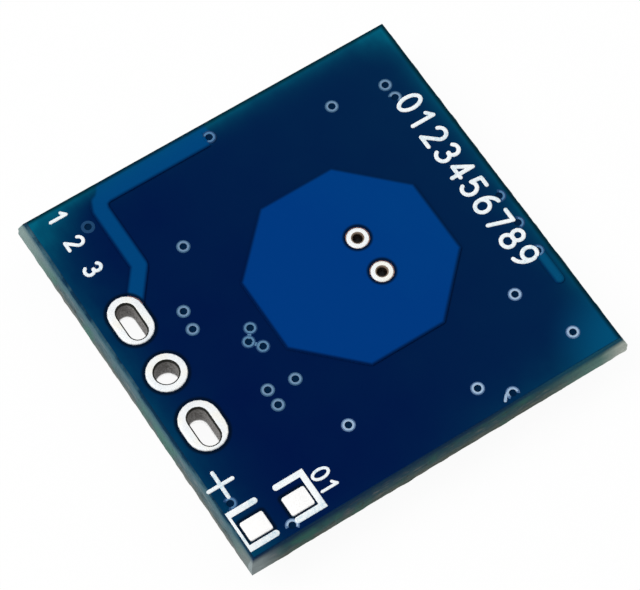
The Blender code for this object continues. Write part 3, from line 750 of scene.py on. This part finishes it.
def makeSnappedEdge():
    look = snappedEdge
    proud = look["proud"]
    shape = bmesh.new()
    top, low = boardHigh.z - look["withinFaces"], boardLow.z + look["withinFaces"]
    half = halfWeb + proud
    block(shape, (-half, -half, low), (half, half, top))
    ends = [face for face in shape.faces if abs(face.normal.z) > 0.5]
    bmesh.ops.delete(shape, geom=ends, context="FACES_ONLY")
    for level in (look["webTop"], look["webLow"]):
        everything = shape.verts[:] + shape.edges[:] + shape.faces[:]
        bmesh.ops.bisect_plane(shape, geom=everything, plane_co=(0, 0, level), plane_no=(0, 0, 1))
    for level, side in ((top, halfFace), (low, halfBack)):
        rim = [vert for vert in shape.verts if abs(vert.co.z - level) < 0.001]
        share = (side + look["pastFace"] + proud) / half
        bmesh.ops.scale(shape, vec=(share, share, 1), verts=rim)
    for upright, cuts in ((False, look["cutsAlong"]), (True, look["cutsDown"])):
        edges = [edge for edge in shape.edges if isUpright(edge) == upright]
        bmesh.ops.subdivide_edges(shape, edges=edges, cuts=cuts, use_grid_fill=True)
    # Fibres stand out of the web in rows, and the scored faces are nearly smooth
    for vert in shape.verts:
        x, y, z = vert.co
        rows = noise.noise(Vector((x * 2.4, y * 2.4, z * 9)))
        chips = noise.noise(Vector((x * 7, y * 7, z * 5 + 4)))
        onWeb = look["webLow"] - 0.03 < z < look["webTop"] + 0.03
        depth = look["webRoughness"] if onWeb else look["scoreRoughness"]
        outward = depth * (look["rowShare"] * rows + (1 - look["rowShare"]) * chips)
        if z > top - 0.001 or z < low + 0.001:
            outward *= look["rimShare"]
        grow = 1 + outward / halfWeb
        vert.co.x *= grow
        vert.co.y *= grow
        if vert.co.y < -7:
            vert.co.y -= look["pinSideProud"] * (1 - 0.6 * vert.co.x / halfWeb)
        if onWeb:
            vert.co.z += look["sway"] * noise.noise(Vector((x * 1.7, y * 1.7, 3)))
    # Turned in over the top and bottom, and closed inside
    rims = []
    for level in (top, low):
        loose = [edge for edge in shape.edges if edge.is_boundary]
        rim = [edge for edge in loose if all(abs(vert.co.z - level) < 0.02 for vert in edge.verts)]
        turned = bmesh.ops.extrude_edge_only(shape, edges=rim)["geom"]
        share = look["insideHalf"] / halfFace
        inner = [part for part in turned if isinstance(part, bmesh.types.BMVert)]
        bmesh.ops.scale(shape, vec=(share, share, 1), verts=inner)
        edges = [part for part in turned if isinstance(part, bmesh.types.BMEdge)]
        rims += [edge for edge in edges if edge.is_boundary]
    bmesh.ops.bridge_loops(shape, edges=rims)
    faceOutward(shape)
    finish(shape, "snappedEdge", [laminate], "laminate", smoothBelow=35)


makeSnappedEdge()
print("snapped edge made")


# Plated holes: the CAD shapes with rounded rims, and the plating inside in its own finish


eyeletLook = {"holeRim": 0.06, "outerRim": 0.05, "backRim": 0.2}
platingLook = {"pin": 0.05, "feed": 0.035}  # how much thicker than in the CAD


def makeEyelet(nodeName, name, barrel, thicker):
    # The wall of the hole is drawn in a little by the plating
    look = eyeletLook
    shape = mergedCopy(nodeName)
    low, high = boxOf(nodeName)
    centre = middleOf(nodeName)
    shape.normal_update()

    def isInHole(face):
        outward = face.calc_center_median() - centre
        return abs(face.normal.z) < 0.3 and face.normal.xy.dot(outward.xy) < 0

    for face in shape.faces:
        face.material_index = int(isInHole(face))
    inWall = {vert for face in shape.faces if face.material_index for vert in face.verts}
    moves = {}
    for vert in inWall:
        inward = sum((face.normal for face in vert.link_faces if face.material_index), Vector())
        moves[vert] = inward.normalized() * thicker
    for vert, move in moves.items():
        vert.co += move
    for level, holeRim in ((high.z, look["holeRim"]), (low.z, look["backRim"])):
        rims = rimAt(shape, level, 40, 0.002)
        hole = [edge for edge in rims if any(face.material_index for face in edge.link_faces)]
        for face in bevelEdges(shape, hole, holeRim, 4)["faces"]:
            face.material_index = 1
        outer = [edge for edge in rims if edge.is_valid and edge not in hole]
        bevelEdges(shape, outer, look["outerRim"], 3)
    finish(shape, name, [tin, barrel], "tin", [nodeName])


for number in (1, 2, 3):
    makeEyelet(f"pin_eyelet_{number}", f"pinEyelet{number}", pinBarrel, platingLook["pin"])
for side in ("left", "right"):
    name = f"feedEyelet{side.capitalize()}"
    makeEyelet(f"feed_eyelet_{side}", name, feedBarrelShade, platingLook["feed"])
print("eyelets made")


# Vias: turned rings that the coat has thinned over


viaLook = {
    "ring": 0.27,
    "soft": 0.218,
    "hole": 0.13,
    "wall": 0.17,
    "crown": 0.012,
    "raised": 0.035,
    "steps": 32,
}
# Rings that the coat, the print or the board's edge partly hides:
# which via, its ring's finish, the middle of what is hidden in degrees, and its width
viaVariants = {
    1: ("ringFaint", 270, 60),
    2: ("ringFaint", 250, 150),
    3: ("ringTeal", 0, 0),
    4: ("ringTeal", 0, 0),
    5: ("ringTeal", 0, 0),
    7: ("ringMid", 300, 120),
    9: ("ringDark", 0, 0),
    10: ("ringFaint", 250, 170),
    11: ("ringFaint", 250, 170),
    15: ("ringTin", 0, 120),
    17: ("ringFaint", 270, 90),
    18: ("ringTin", 330, 120),
}
brightVias = (12, 13, 14, 16)
raisedVias = (1,)  # its ring lies in the supply track
softRings = {"ringTin": "ringSoft", "ringMid": "ringLow", "ringDark": "ringDark"}


def makeVia(number):
    look = viaLook
    nodeName = f"via_{number:02d}"
    spot = middleOf(nodeName)
    usual = ("ringTin" if number in brightVias else "ringMid", 0, 0)
    ring, hiddenWay, hiddenWidth = viaVariants.get(number, usual)
    hole, soft, rim, crown = look["hole"], look["soft"], look["ring"], look["crown"]
    level = frontFace + (look["raised"] if number in raisedVias else 0)
    half = [
        (0, level - 0.03),
        (hole - 0.03, level - 0.026),
        (hole, level - 0.012),
        (hole + 0.012, level + crown * 0.6),
        (hole + 0.04, level + crown),
        (soft, level + crown),
        (rim - 0.02, level + crown * 0.6),
        (rim + 0.004, level - 0.004),
        (rim - 0.01, level - 0.024),
        (look["wall"], level - 0.03),
    ]
    other = [(radius, level + backFace - height) for radius, height in reversed(half)]
    shape = bmesh.new()
    corners = [shape.verts.new((radius, 0, height)) for radius, height in half + other]
    edges = [shape.edges.new(pair) for pair in zip(corners, corners[1:])]
    around = {"cent": (0, 0, 0), "axis": (0, 0, 1), "angle": 2 * math.pi, "steps": look["steps"]}
    bmesh.ops.spin(shape, geom=corners + edges, use_merge=True, use_duplicate=False, **around)
    bmesh.ops.remove_doubles(shape, verts=shape.verts, dist=doubles)
    faceOutward(shape)
    for face in shape.faces:
        middle = face.calc_center_median()
        radius = math.hypot(middle.x, middle.y)
        if radius < hole + 0.02:
            face.material_index = 2
            continue
        if radius > soft + 0.005:
            face.material_index = 1
        if hiddenWidth and middle.z > 2:
            way = math.degrees(math.atan2(middle.y, middle.x))
            off = abs((way - hiddenWay + 180) % 360 - 180)
            if off < hiddenWidth / 2:
                face.material_index = 3
            elif off < hiddenWidth / 2 + 20:
                face.material_index = 1
    bmesh.ops.translate(shape, vec=(spot.x, spot.y, 0), verts=shape.verts)
    finishes = [tins[name] for name in (ring, softRings.get(ring, "ringPale"), "viaFill")]
    finish(shape, f"viaRing{number:02d}", [*finishes, frontCoat], "tin", [nodeName])


for number in range(1, 25):
    makeVia(number)
print("vias made")


# Pads for the LED: rounded corners and a low dome of solder


ledPadLook = {"corner": 0.09, "rim": 0.045, "dome": ((0.82, 0.01), (0.7, 0.006))}


def makeLedPad(number):
    look = ledPadLook
    low, high = boxOf(f"led_pad_{number}")
    shape = bmesh.new()
    block(shape, low, high)
    bevelEdges(shape, [edge for edge in shape.edges if isUpright(edge)], look["corner"], 5)
    bevelEdges(shape, rimAt(shape, high.z), look["rim"], 3)
    lid = topFace(shape)
    around = Matrix.Translation(-lid.calc_center_median())
    for share, rise in look["dome"]:
        bmesh.ops.inset_region(shape, faces=[lid], thickness=0.002, use_even_offset=True)
        bmesh.ops.scale(shape, vec=(share, share, 1), verts=lid.verts, space=around)
        bmesh.ops.translate(shape, vec=(0, 0, rise), verts=lid.verts)
    faceOutward(shape)
    name = f"led_pad_{number}"
    finish(shape, f"ledPad{number}", [tins["padTin"]], "tin", [name], smoothBelow=60)


for number in (1, 2):
    makeLedPad(number)
print("LED pads made")


# Printed legend: beads of ink with round ends, lying on the coat


printLook = {"rise": 0.022, "sink": 0.012, "capSteps": 4}


def arc(x, y, radiusX, radiusY, start, end, steps=14):
    turns = [math.radians(start + (end - start) * k / steps) for k in range(steps + 1)]
    return [(x + radiusX * math.cos(turn), y + radiusY * math.sin(turn)) for turn in turns]


# Strokes of each digit, in a box one high and about 0.56 wide
digitStrokes = {
    "0": [arc(0.28, 0.5, 0.28, 0.5, 0, 360, 28)],
    "1": [[(0.1, 0.78), (0.34, 1.0)], [(0.34, 1.0), (0.34, 0.0)]],
    "2": [arc(0.28, 0.72, 0.27, 0.28, 165, -35, 14) + [(0.02, 0.0)], [(0.02, 0.0), (0.56, 0.0)]],
    "3": [arc(0.27, 0.75, 0.24, 0.25, 150, -80, 12), arc(0.27, 0.27, 0.28, 0.27, 85, -150, 14)],
    "4": [[(0.42, 0.0), (0.42, 1.0)], [(0.42, 1.0), (0.0, 0.3)], [(0.0, 0.3), (0.58, 0.3)]],
    "5": [
        [(0.5, 1.0), (0.1, 1.0)],
        [(0.1, 1.0), (0.05, 0.55)],
        arc(0.26, 0.32, 0.28, 0.32, 130, -145, 16),
    ],
    "6": [arc(0.28, 0.31, 0.28, 0.31, 0, 360, 24), arc(0.5, 0.34, 0.5, 0.66, 180, 98, 10)],
    "7": [[(0.0, 1.0), (0.54, 1.0)], [(0.54, 1.0), (0.2, 0.0)]],
    "8": [arc(0.28, 0.76, 0.23, 0.24, 0, 360, 22), arc(0.28, 0.27, 0.28, 0.27, 0, 360, 24)],
    "9": [arc(0.28, 0.69, 0.28, 0.31, 0, 360, 24), arc(0.06, 0.66, 0.5, 0.66, 0, -82, 10)],
}


def roundedEnds(points, radius):
    # A stroke's points with the share of its width at each, rounded off at both ends
    spots = [Vector(point) for point in points]
    steps = printLook["capSteps"]
    caps = []
    for tip, beside in ((spots[0], spots[1]), (spots[-1], spots[-2])):
        way = (tip - beside).normalized()
        leans = [math.pi / 2 * (1 - k / steps) for k in range(steps)]
        caps.append([(tip + way * radius * math.sin(lean), math.cos(lean)) for lean in leans])
    return caps[0] + [(spot, 1.0) for spot in spots] + caps[1][::-1]


# How far the coat reaches past the copper that it climbs over, at the track's start and beside it
coatStart, coatWall = 0.03, 0.04


def coatLevel(spot):
    # The coat that the ink lies on stands higher over the short track
    low, high = boxOf("edge_track")
    over = low.x - coatStart < spot.x < high.x and low.y - coatWall < spot.y < high.y + coatWall
    return frontRise if over else frontFace


def inkBeads(strokes, width, onBack=False):
    # Every stroke as a flattened bead on a coat, in one shape
    curve = bpy.data.curves.new("inkStrokes", "CURVE")
    curve.dimensions = "3D"
    curve.bevel_depth = width / 2
    curve.bevel_resolution = 4
    curve.use_fill_caps = True
    for points in strokes:
        ring = (Vector(points[0]) - Vector(points[-1])).length < 0.001
        whole = [(Vector(point), 1.0) for point in points[:-1]]
        entries = whole if ring else roundedEnds(points, width / 2)
        spline = curve.splines.new("POLY")
        spline.points.add(len(entries) - 1)
        for point, (spot, share) in zip(spline.points, entries):
            point.co = (spot.x, spot.y, 0, 1)
            point.radius = max(share, 0.02)
        spline.use_cyclic_u = ring
    drawn = placed("inkStrokes", curve)
    bpy.context.view_layer.update()
    graph = bpy.context.evaluated_depsgraph_get()
    mesh = bpy.data.meshes.new_from_object(drawn.evaluated_get(graph))
    bpy.data.objects.remove(drawn, do_unlink=True)
    bpy.data.curves.remove(curve)
    shape = bmesh.new()
    shape.from_mesh(mesh)
    bpy.data.meshes.remove(mesh)
    bmesh.ops.remove_doubles(shape, verts=shape.verts, dist=0.0002)
    rise, sink = printLook["rise"], printLook["sink"]
    for vert in shape.verts:
        share = vert.co.z / (width / 2)
        height = rise * math.sqrt(share) if share > 0 else sink * share
        vert.co.z = backFace - height if onBack else coatLevel(vert.co) + height
    if onBack:
        bmesh.ops.reverse_faces(shape, faces=shape.faces)
    return shape


def placedDigit(digit, x, y, height):
    # x, y is the digit's lower left corner
    strokes = digitStrokes[digit]
    return [[(x + px * height, y + py * height) for px, py in stroke] for stroke in strokes]


def printDigits(name, look):
    strokes = []
    for digit, left in zip(look["digits"], look["lefts"]):
        x, y = onLayout(left, look["low"])
        strokes += placedDigit(digit, x, y, look["height"])
    finish(inkBeads(strokes, look["stroke"]), name, [ink], smoothBelow=50)


numberRow = {
    "digits": "0123456789",
    "lefts": [-4.86 + 0.862 * k for k in range(10)],
    "low": 6.44,
    "height": 0.93,
    "stroke": 0.165,
}
pinNumbers = {
    "digits": "123",
    "lefts": (-7.8, -6.55, -5.25),
    "low": -7.18,
    "height": 0.66,
    "stroke": 0.14,
}
ledNumber = {"digits": "01", "lefts": (6.2, 6.78), "low": -4.55, "height": 0.64, "stroke": 0.12}
plusSign = {"x": 4.81, "y": -7.47, "across": 0.55, "up": 0.5, "stroke": 0.155}


def makePlusSign():
    look = plusSign
    x, y = onLayout(look["x"], look["y"])
    across, up = look["across"], look["up"]
    strokes = [[(x - across, y), (x + across, y)], [(x, y - up), (x, y + up)]]
    finish(inkBeads(strokes, look["stroke"]), "printPlusSign", [ink], smoothBelow=50)


# Brackets round the two LED pads: base, tip and how thick the base is
ledBrackets = {
    "left": 5.84,
    "right": 7.57,
    "side": 0.25,
    "upper": (-4.68, -5.98, 0.24),
    "lower": (-7.93, -6.66, 0.11),
    "edgeRounding": 0.015,
    "endRounding": 0.47,
    "riseShare": 0.8,
    "sink": 0.01,
}


def makeBracket(name, base, tip, baseWidth):
    # A U of ink: its base lies along X, and its two arms end round at the tip
    look = ledBrackets
    inner = base + (baseWidth if tip > base else -baseWidth)
    left, right, side = look["left"], look["right"], look["side"]
    outline = [
        (left, base),
        (right, base),
        (right, tip),
        (right - side, tip),
        (right - side, inner),
        (left + side, inner),
        (left + side, tip),
        (left, tip),
    ]
    shape = bmesh.new()
    foot = frontFace - look["sink"]
    thickness = look["sink"] + printLook["rise"] * look["riseShare"]
    corners = [shape.verts.new((*onLayout(x, y), foot)) for x, y in outline]
    flat = shape.faces.new(corners)
    grown = bmesh.ops.extrude_face_region(shape, geom=[flat])["geom"]
    lifted = [part for part in grown if isinstance(part, bmesh.types.BMVert)]
    bmesh.ops.translate(shape, vec=(0, 0, thickness), verts=lifted)
    faceOutward(shape)
    ends = [edge for k in (2, 3, 6, 7) for edge in corners[k].link_edges if isUpright(edge)]
    bevelEdges(shape, ends, side * look["endRounding"], 5)
    bevelEdges(shape, list(topFace(shape).edges), look["edgeRounding"], 2)
    finish(shape, name, [ink], smoothBelow=50)


printDigits("printNumberRow", numberRow)
printDigits("printPinNumbers", pinNumbers)
printDigits("printLedNumber", ledNumber)
makePlusSign()
makeBracket("printBracketUpper", *ledBrackets["upper"])
makeBracket("printBracketLower", *ledBrackets["lower"])
print("legend printed")


# Small things on the antenna face: the thin link between the three vias below the antenna,
# a tail of tin beside a via, and the coat's round end on the short track


smallLook = {
    "linkWidth": 0.14,
    "linkOverlap": 0.03,
    "linkRise": 0.006,
    "tailWidth": 0.11,
    "tail": ((-0.1, -0.17), (-0.03, -0.28), (0.12, -0.41)),  # from the via's middle
    "endSink": 0.02,
    "endRise": 0.002,
    "endBevel": 0.03,
}


def makeTrioLink():
    spots = [middleOf(f"via_0{k}") for k in (3, 4, 5)]
    strokes = []
    for first, last in zip(spots, spots[1:]):
        inset = (last - first).normalized() * (viaLook["soft"] - smallLook["linkOverlap"])
        strokes.append([(first + inset).xy, (last - inset).xy])
    shape = inkBeads(strokes, smallLook["linkWidth"])
    for vert in shape.verts:
        vert.co.z = min(vert.co.z, frontFace + smallLook["linkRise"])
    finish(shape, "viaTrioLink", [tins["ringTeal"]], "solder_mask", smoothBelow=50)


def makeViaTail():
    spot = middleOf("via_15")
    tail = [(spot.x + x, spot.y + y) for x, y in smallLook["tail"]]
    shape = inkBeads([tail], smallLook["tailWidth"])
    finish(shape, "viaTail", [tins["ringTin"]], "tin", smoothBelow=50)


def makeTrackEnd():
    look = smallLook
    (low, high), middle = boxOf("edge_track"), middleOf("edge_track")
    bottom, top = frontFace - look["endSink"], frontRise + look["endRise"]
    radius = (high.y - low.y) / 2 + coatWall
    place = Matrix.Translation((high.x, middle.y, (bottom + top) / 2))
    shape = bmesh.new()
    size = {"segments": 32, "radius1": radius, "radius2": radius, "depth": top - bottom}
    bmesh.ops.create_cone(shape, cap_ends=True, matrix=place, **size)
    bevelEdges(shape, rimAt(shape, top), look["endBevel"], 3)
    finish(shape, "edgeTrackEnd", [frontCoat], "solder_mask")


makeTrioLink()
makeViaTail()
makeTrackEnd()
print("via link, via tail and track end made")


# Parts on the hidden face: their own finishes, and the solder that holds them


partEnds = {"large_capacitor": 0.45, "small_capacitor": 0.25, "small_resistor": 0.22}
chipLook = {"underMetal": 0.03, "glazeTilt": 0.7, "edgeRounding": 0.015, "leadReach": 0.215}
partCounts = {"large_capacitor": 3, "small_capacitor": 5, "small_resistor": 5}
chipParts = [(kind, k + 1) for kind, count in partCounts.items() for k in range(count)]
solderLook = {
    "reach": 0.24,
    "side": 0.05,
    "climb": 0.4,
    "sink": 0.006,
    "leadReach": 0.14,
    "leadBack": 0.4,
    "leadSide": 0.1,
    "leadClimb": 0.07,
    "leadSlants": ((0.1, 0.1), (0.08, 0.08)),
    "slant": 0.92,
    "sideSlant": 0.8,
    "rounding": 0.03,
}


def makeChipPart(kind, number):
    # Metal ends on a ceramic body; a resistor's outer face is glazed
    nodeName = f"{kind}_{number}"
    low, high = boxOf(nodeName)
    centre, size = middleOf(nodeName), high - low
    axis = longAxis(size)
    isResistor = kind == "small_resistor"
    shape = mergedCopy(nodeName)
    shape.normal_update()
    inside = size[axis] / 2 - partEnds[kind] + chipLook["underMetal"]
    for face in shape.faces:
        isBody = abs(face.calc_center_median()[axis] - centre[axis]) < inside
        isGlazed = isBody and isResistor and face.normal.z < -chipLook["glazeTilt"]
        face.material_index = 2 if isGlazed else int(isBody)
    bevelEdges(shape, sharpEdges(shape, 50), chipLook["edgeRounding"], 2)
    name = "".join([word.capitalize() for word in kind.split("_")])
    body, slot = (alumina, "resistor") if isResistor else (tanCeramic, "capacitor")
    finish(shape, f"chip{name}{number}", [solder, body, blackGlaze], slot, [nodeName])


def makeRadarChip():
    # Its lead ends show round the sides, up to so far from the board
    low, high = boxOf("radar_chip")
    centre = middleOf("radar_chip")
    shape = mergedCopy("radar_chip")
    for face in shape.faces:
        middle = face.calc_center_median()
        off = middle - centre
        beside = max(abs(off.x), abs(off.y)) > (high.x - low.x) / 2 - 0.02
        face.material_index = int(beside and middle.z > high.z - chipLook["leadReach"])
    finish(shape, "radarChip", [moulding, solder], "moulding", ["radar_chip"])


def addFillet(shape, low, high, narrow):
    # Solder from the coat down to a part's metal, drawn in all round by narrow
    made = block(shape, low, high)
    middle = (Vector(low) + Vector(high)) / 2
    for vert in made:
        if vert.co.z < middle.z:
            for axis in (0, 1):
                way = 1 if vert.co[axis] < middle[axis] else -1
                vert.co[axis] += way * narrow[axis][0 if way > 0 else 1]


def makeSolder():
    look = solderLook
    reach, beside = look["reach"], look["side"]
    inward = beside * look["sideSlant"]
    shape = bmesh.new()
    onCoat = backFace + look["sink"]
    for kind, number in chipParts:
        low, high = boxOf(f"{kind}_{number}")
        size = high - low
        axis = longAxis(size)
        other = 1 - axis
        for side in (-1, 1):
            near = Vector((*low.xy, high.z - look["climb"] * size.z))
            far = Vector((*high.xy, onCoat))
            near[other] -= beside
            far[other] += beside
            narrow = [(inward, inward), (inward, inward)]
            if side > 0:
                near[axis], far[axis] = high[axis] - partEnds[kind], high[axis] + reach
                narrow[axis] = (0, reach * look["slant"])
            else:
                near[axis], far[axis] = low[axis] - reach, low[axis] + partEnds[kind]
                narrow[axis] = (reach * look["slant"], 0)
            addFillet(shape, near, far, narrow)
    for number in (1, 2, 3):
        low, high = boxOf(f"regulator_lead_{number}")
        outward = 1 if (low + high).x > 2 * middleOf("regulator_body").x else -1
        tip = high.x if outward > 0 else low.x
        start, end = sorted((tip + look["leadReach"] * outward, tip - look["leadBack"] * outward))
        near = (start, low.y - look["leadSide"], high.z - look["leadClimb"])
        far = (end, high.y + look["leadSide"], onCoat)
        addFillet(shape, near, far, look["leadSlants"])
    slanted = [edge for edge in sharpEdges(shape, 25) if isUpright(edge)]
    bevelEdges(shape, slanted, look["rounding"], 3)
    faceOutward(shape)
    finish(shape, "solderFillets", [solder], "tin")


backPrint = {
    "stroke": 0.13,
    "gap": 0.32,
    "shorter": 0.35,
    "pastEnd": 0.2,
    "endShorter": 0.15,
    "dotSpot": (-2.35, -3.15),
    "dotRadius": 0.16,
}


def makeBackPrint():
    # A line at each side of every large capacitor and at each end of the regulator,
    # and a dot by the chip's first lead
    look = backPrint
    strokes = []
    for nodeName in [f"large_capacitor_{k}" for k in (1, 2, 3)] + ["regulator_body"]:
        low, high = boxOf(nodeName)
        axis = longAxis(high - low)
        other = 1 - axis
        if nodeName == "regulator_body":
            start, end = low[other] + look["endShorter"], high[other] - look["endShorter"]
            places = (low[axis] - look["pastEnd"], high[axis] + look["pastEnd"])
            lines = [[(place, start), (place, end)] for place in places]
        else:
            start, end = low[axis] + look["shorter"], high[axis] - look["shorter"]
            places = (low[other] - look["gap"], high[other] + look["gap"])
            lines = [[(start, place), (end, place)] for place in places]
        strokes += lines if axis == 0 else [[point[::-1] for point in line] for line in lines]
    x, y = onLayout(*look["dotSpot"])
    strokes.append(arc(x, y, look["dotRadius"] / 2, look["dotRadius"] / 2, 0, 360, 12))
    shape = inkBeads(strokes, look["stroke"], onBack=True)
    finish(shape, "printBack", [ink], smoothBelow=50)


for kind, number in chipParts:
    makeChipPart(kind, number)
makeRadarChip()
makeSolder()
makeBackPrint()
print("hidden face dressed")


# Camera, floor and light


cameraPlace = {
    "azimuth": 57.133,
    "elevation": 63.888,
    "distance": 111.914,
    "lens": 170.512,
    "right": -0.0249,
    "up": -0.5876,
    "aimLevel": 2.6,
}


def towards(azimuth, elevation):
    # The way from the object to a viewer
    turn, lift = math.radians(azimuth), math.radians(elevation)
    flat = math.cos(lift)
    return Vector((math.sin(turn) * flat, -math.cos(turn) * flat, math.sin(lift)))


def makeCamera():
    place = cameraPlace
    turn = math.radians(place["azimuth"])
    back = towards(place["azimuth"], place["elevation"])
    right = Vector((math.cos(turn), math.sin(turn), 0))
    up = back.cross(right)
    spot = Vector((0, 0, place["aimLevel"])) + back * place["distance"]
    spot += right * place["right"] + up * place["up"]
    lens = bpy.data.cameras.new("photoView")
    lens.lens = place["lens"]
    lens.sensor_width = 36
    lens.clip_start = 0.001
    lens.clip_end = 20
    camera = placed("photoView", lens)
    camera.rotation_mode = "QUATERNION"
    camera.location = spot * mm
    camera.rotation_quaternion = Matrix((right, up, back)).transposed().to_quaternion()
    bpy.context.scene.camera = camera


def seenPlainly():
    # Whether a ray comes from the camera, a reflection or glass
    path = addNode("LightPath").outputs
    rays = [path[f"Is {kind} Ray"] for kind in ("Camera", "Glossy", "Transmission")]
    return calc("MAXIMUM", *rays)


floorLook = {"side": 6.0, "colour": (0.96, 0.96, 0.96, 1), "shown": 0.95}


def makeFloor():
    look = floorLook
    shape = bmesh.new()
    bmesh.ops.create_grid(shape, x_segments=1, y_segments=1, size=look["side"] / 2)
    mesh = bpy.data.meshes.new("floor")
    shape.to_mesh(mesh)
    shape.free()
    material, shader = newMaterial("floorPaper", Roughness=1.0, Specular_IOR_Level=0.0)
    shader.inputs["Base Color"].default_value = look["colour"]
    paper = addNode("Emission", {"Color": (1, 1, 1, 1), "Strength": 1.0})
    share = product(seenPlainly(), look["shown"])
    mixed = addNode("MixShader", {0: share, 1: shader.outputs[0], 2: paper.outputs[0]})
    link(mixed.outputs[0], drawing["tree"].nodes["Material Output"].inputs["Surface"])
    mesh.materials.append(material)
    placed("floor", mesh)


lampPlaces = (
    # azimuth, elevation, distance in metres, width in metres, power in watts
    (-25, 54, 0.45, 0.30, 1.3),
    (190, 50, 0.45, 0.30, 0.38),
    (0, 88, 0.5, 0.25, 0.18),
)
skyLight = 0.33


def makeLight():
    for number, (azimuth, elevation, distance, width, power) in enumerate(lampPlaces, 1):
        back = towards(azimuth, elevation)
        lamp = bpy.data.lights.new(f"softBox{number}", "AREA")
        lamp.size = width
        lamp.energy = power
        holder = placed(f"softBox{number}", lamp)
        holder.location = back * distance
        holder.rotation_mode = "QUATERNION"
        holder.rotation_quaternion = back.to_track_quat("Z", "Y")
    world = bpy.data.worlds.new("studio")
    bpy.context.scene.world = world
    background = openTree(world)["Background"]
    background.inputs["Color"].default_value = (1, 1, 1, 1)
    wire(background, Strength=spread(seenPlainly(), 0, 1, skyLight, 1.0))


makeCamera()
makeFloor()
makeLight()
bpy.context.scene.view_settings.view_transform = "Standard"
print("camera, floor and light made")
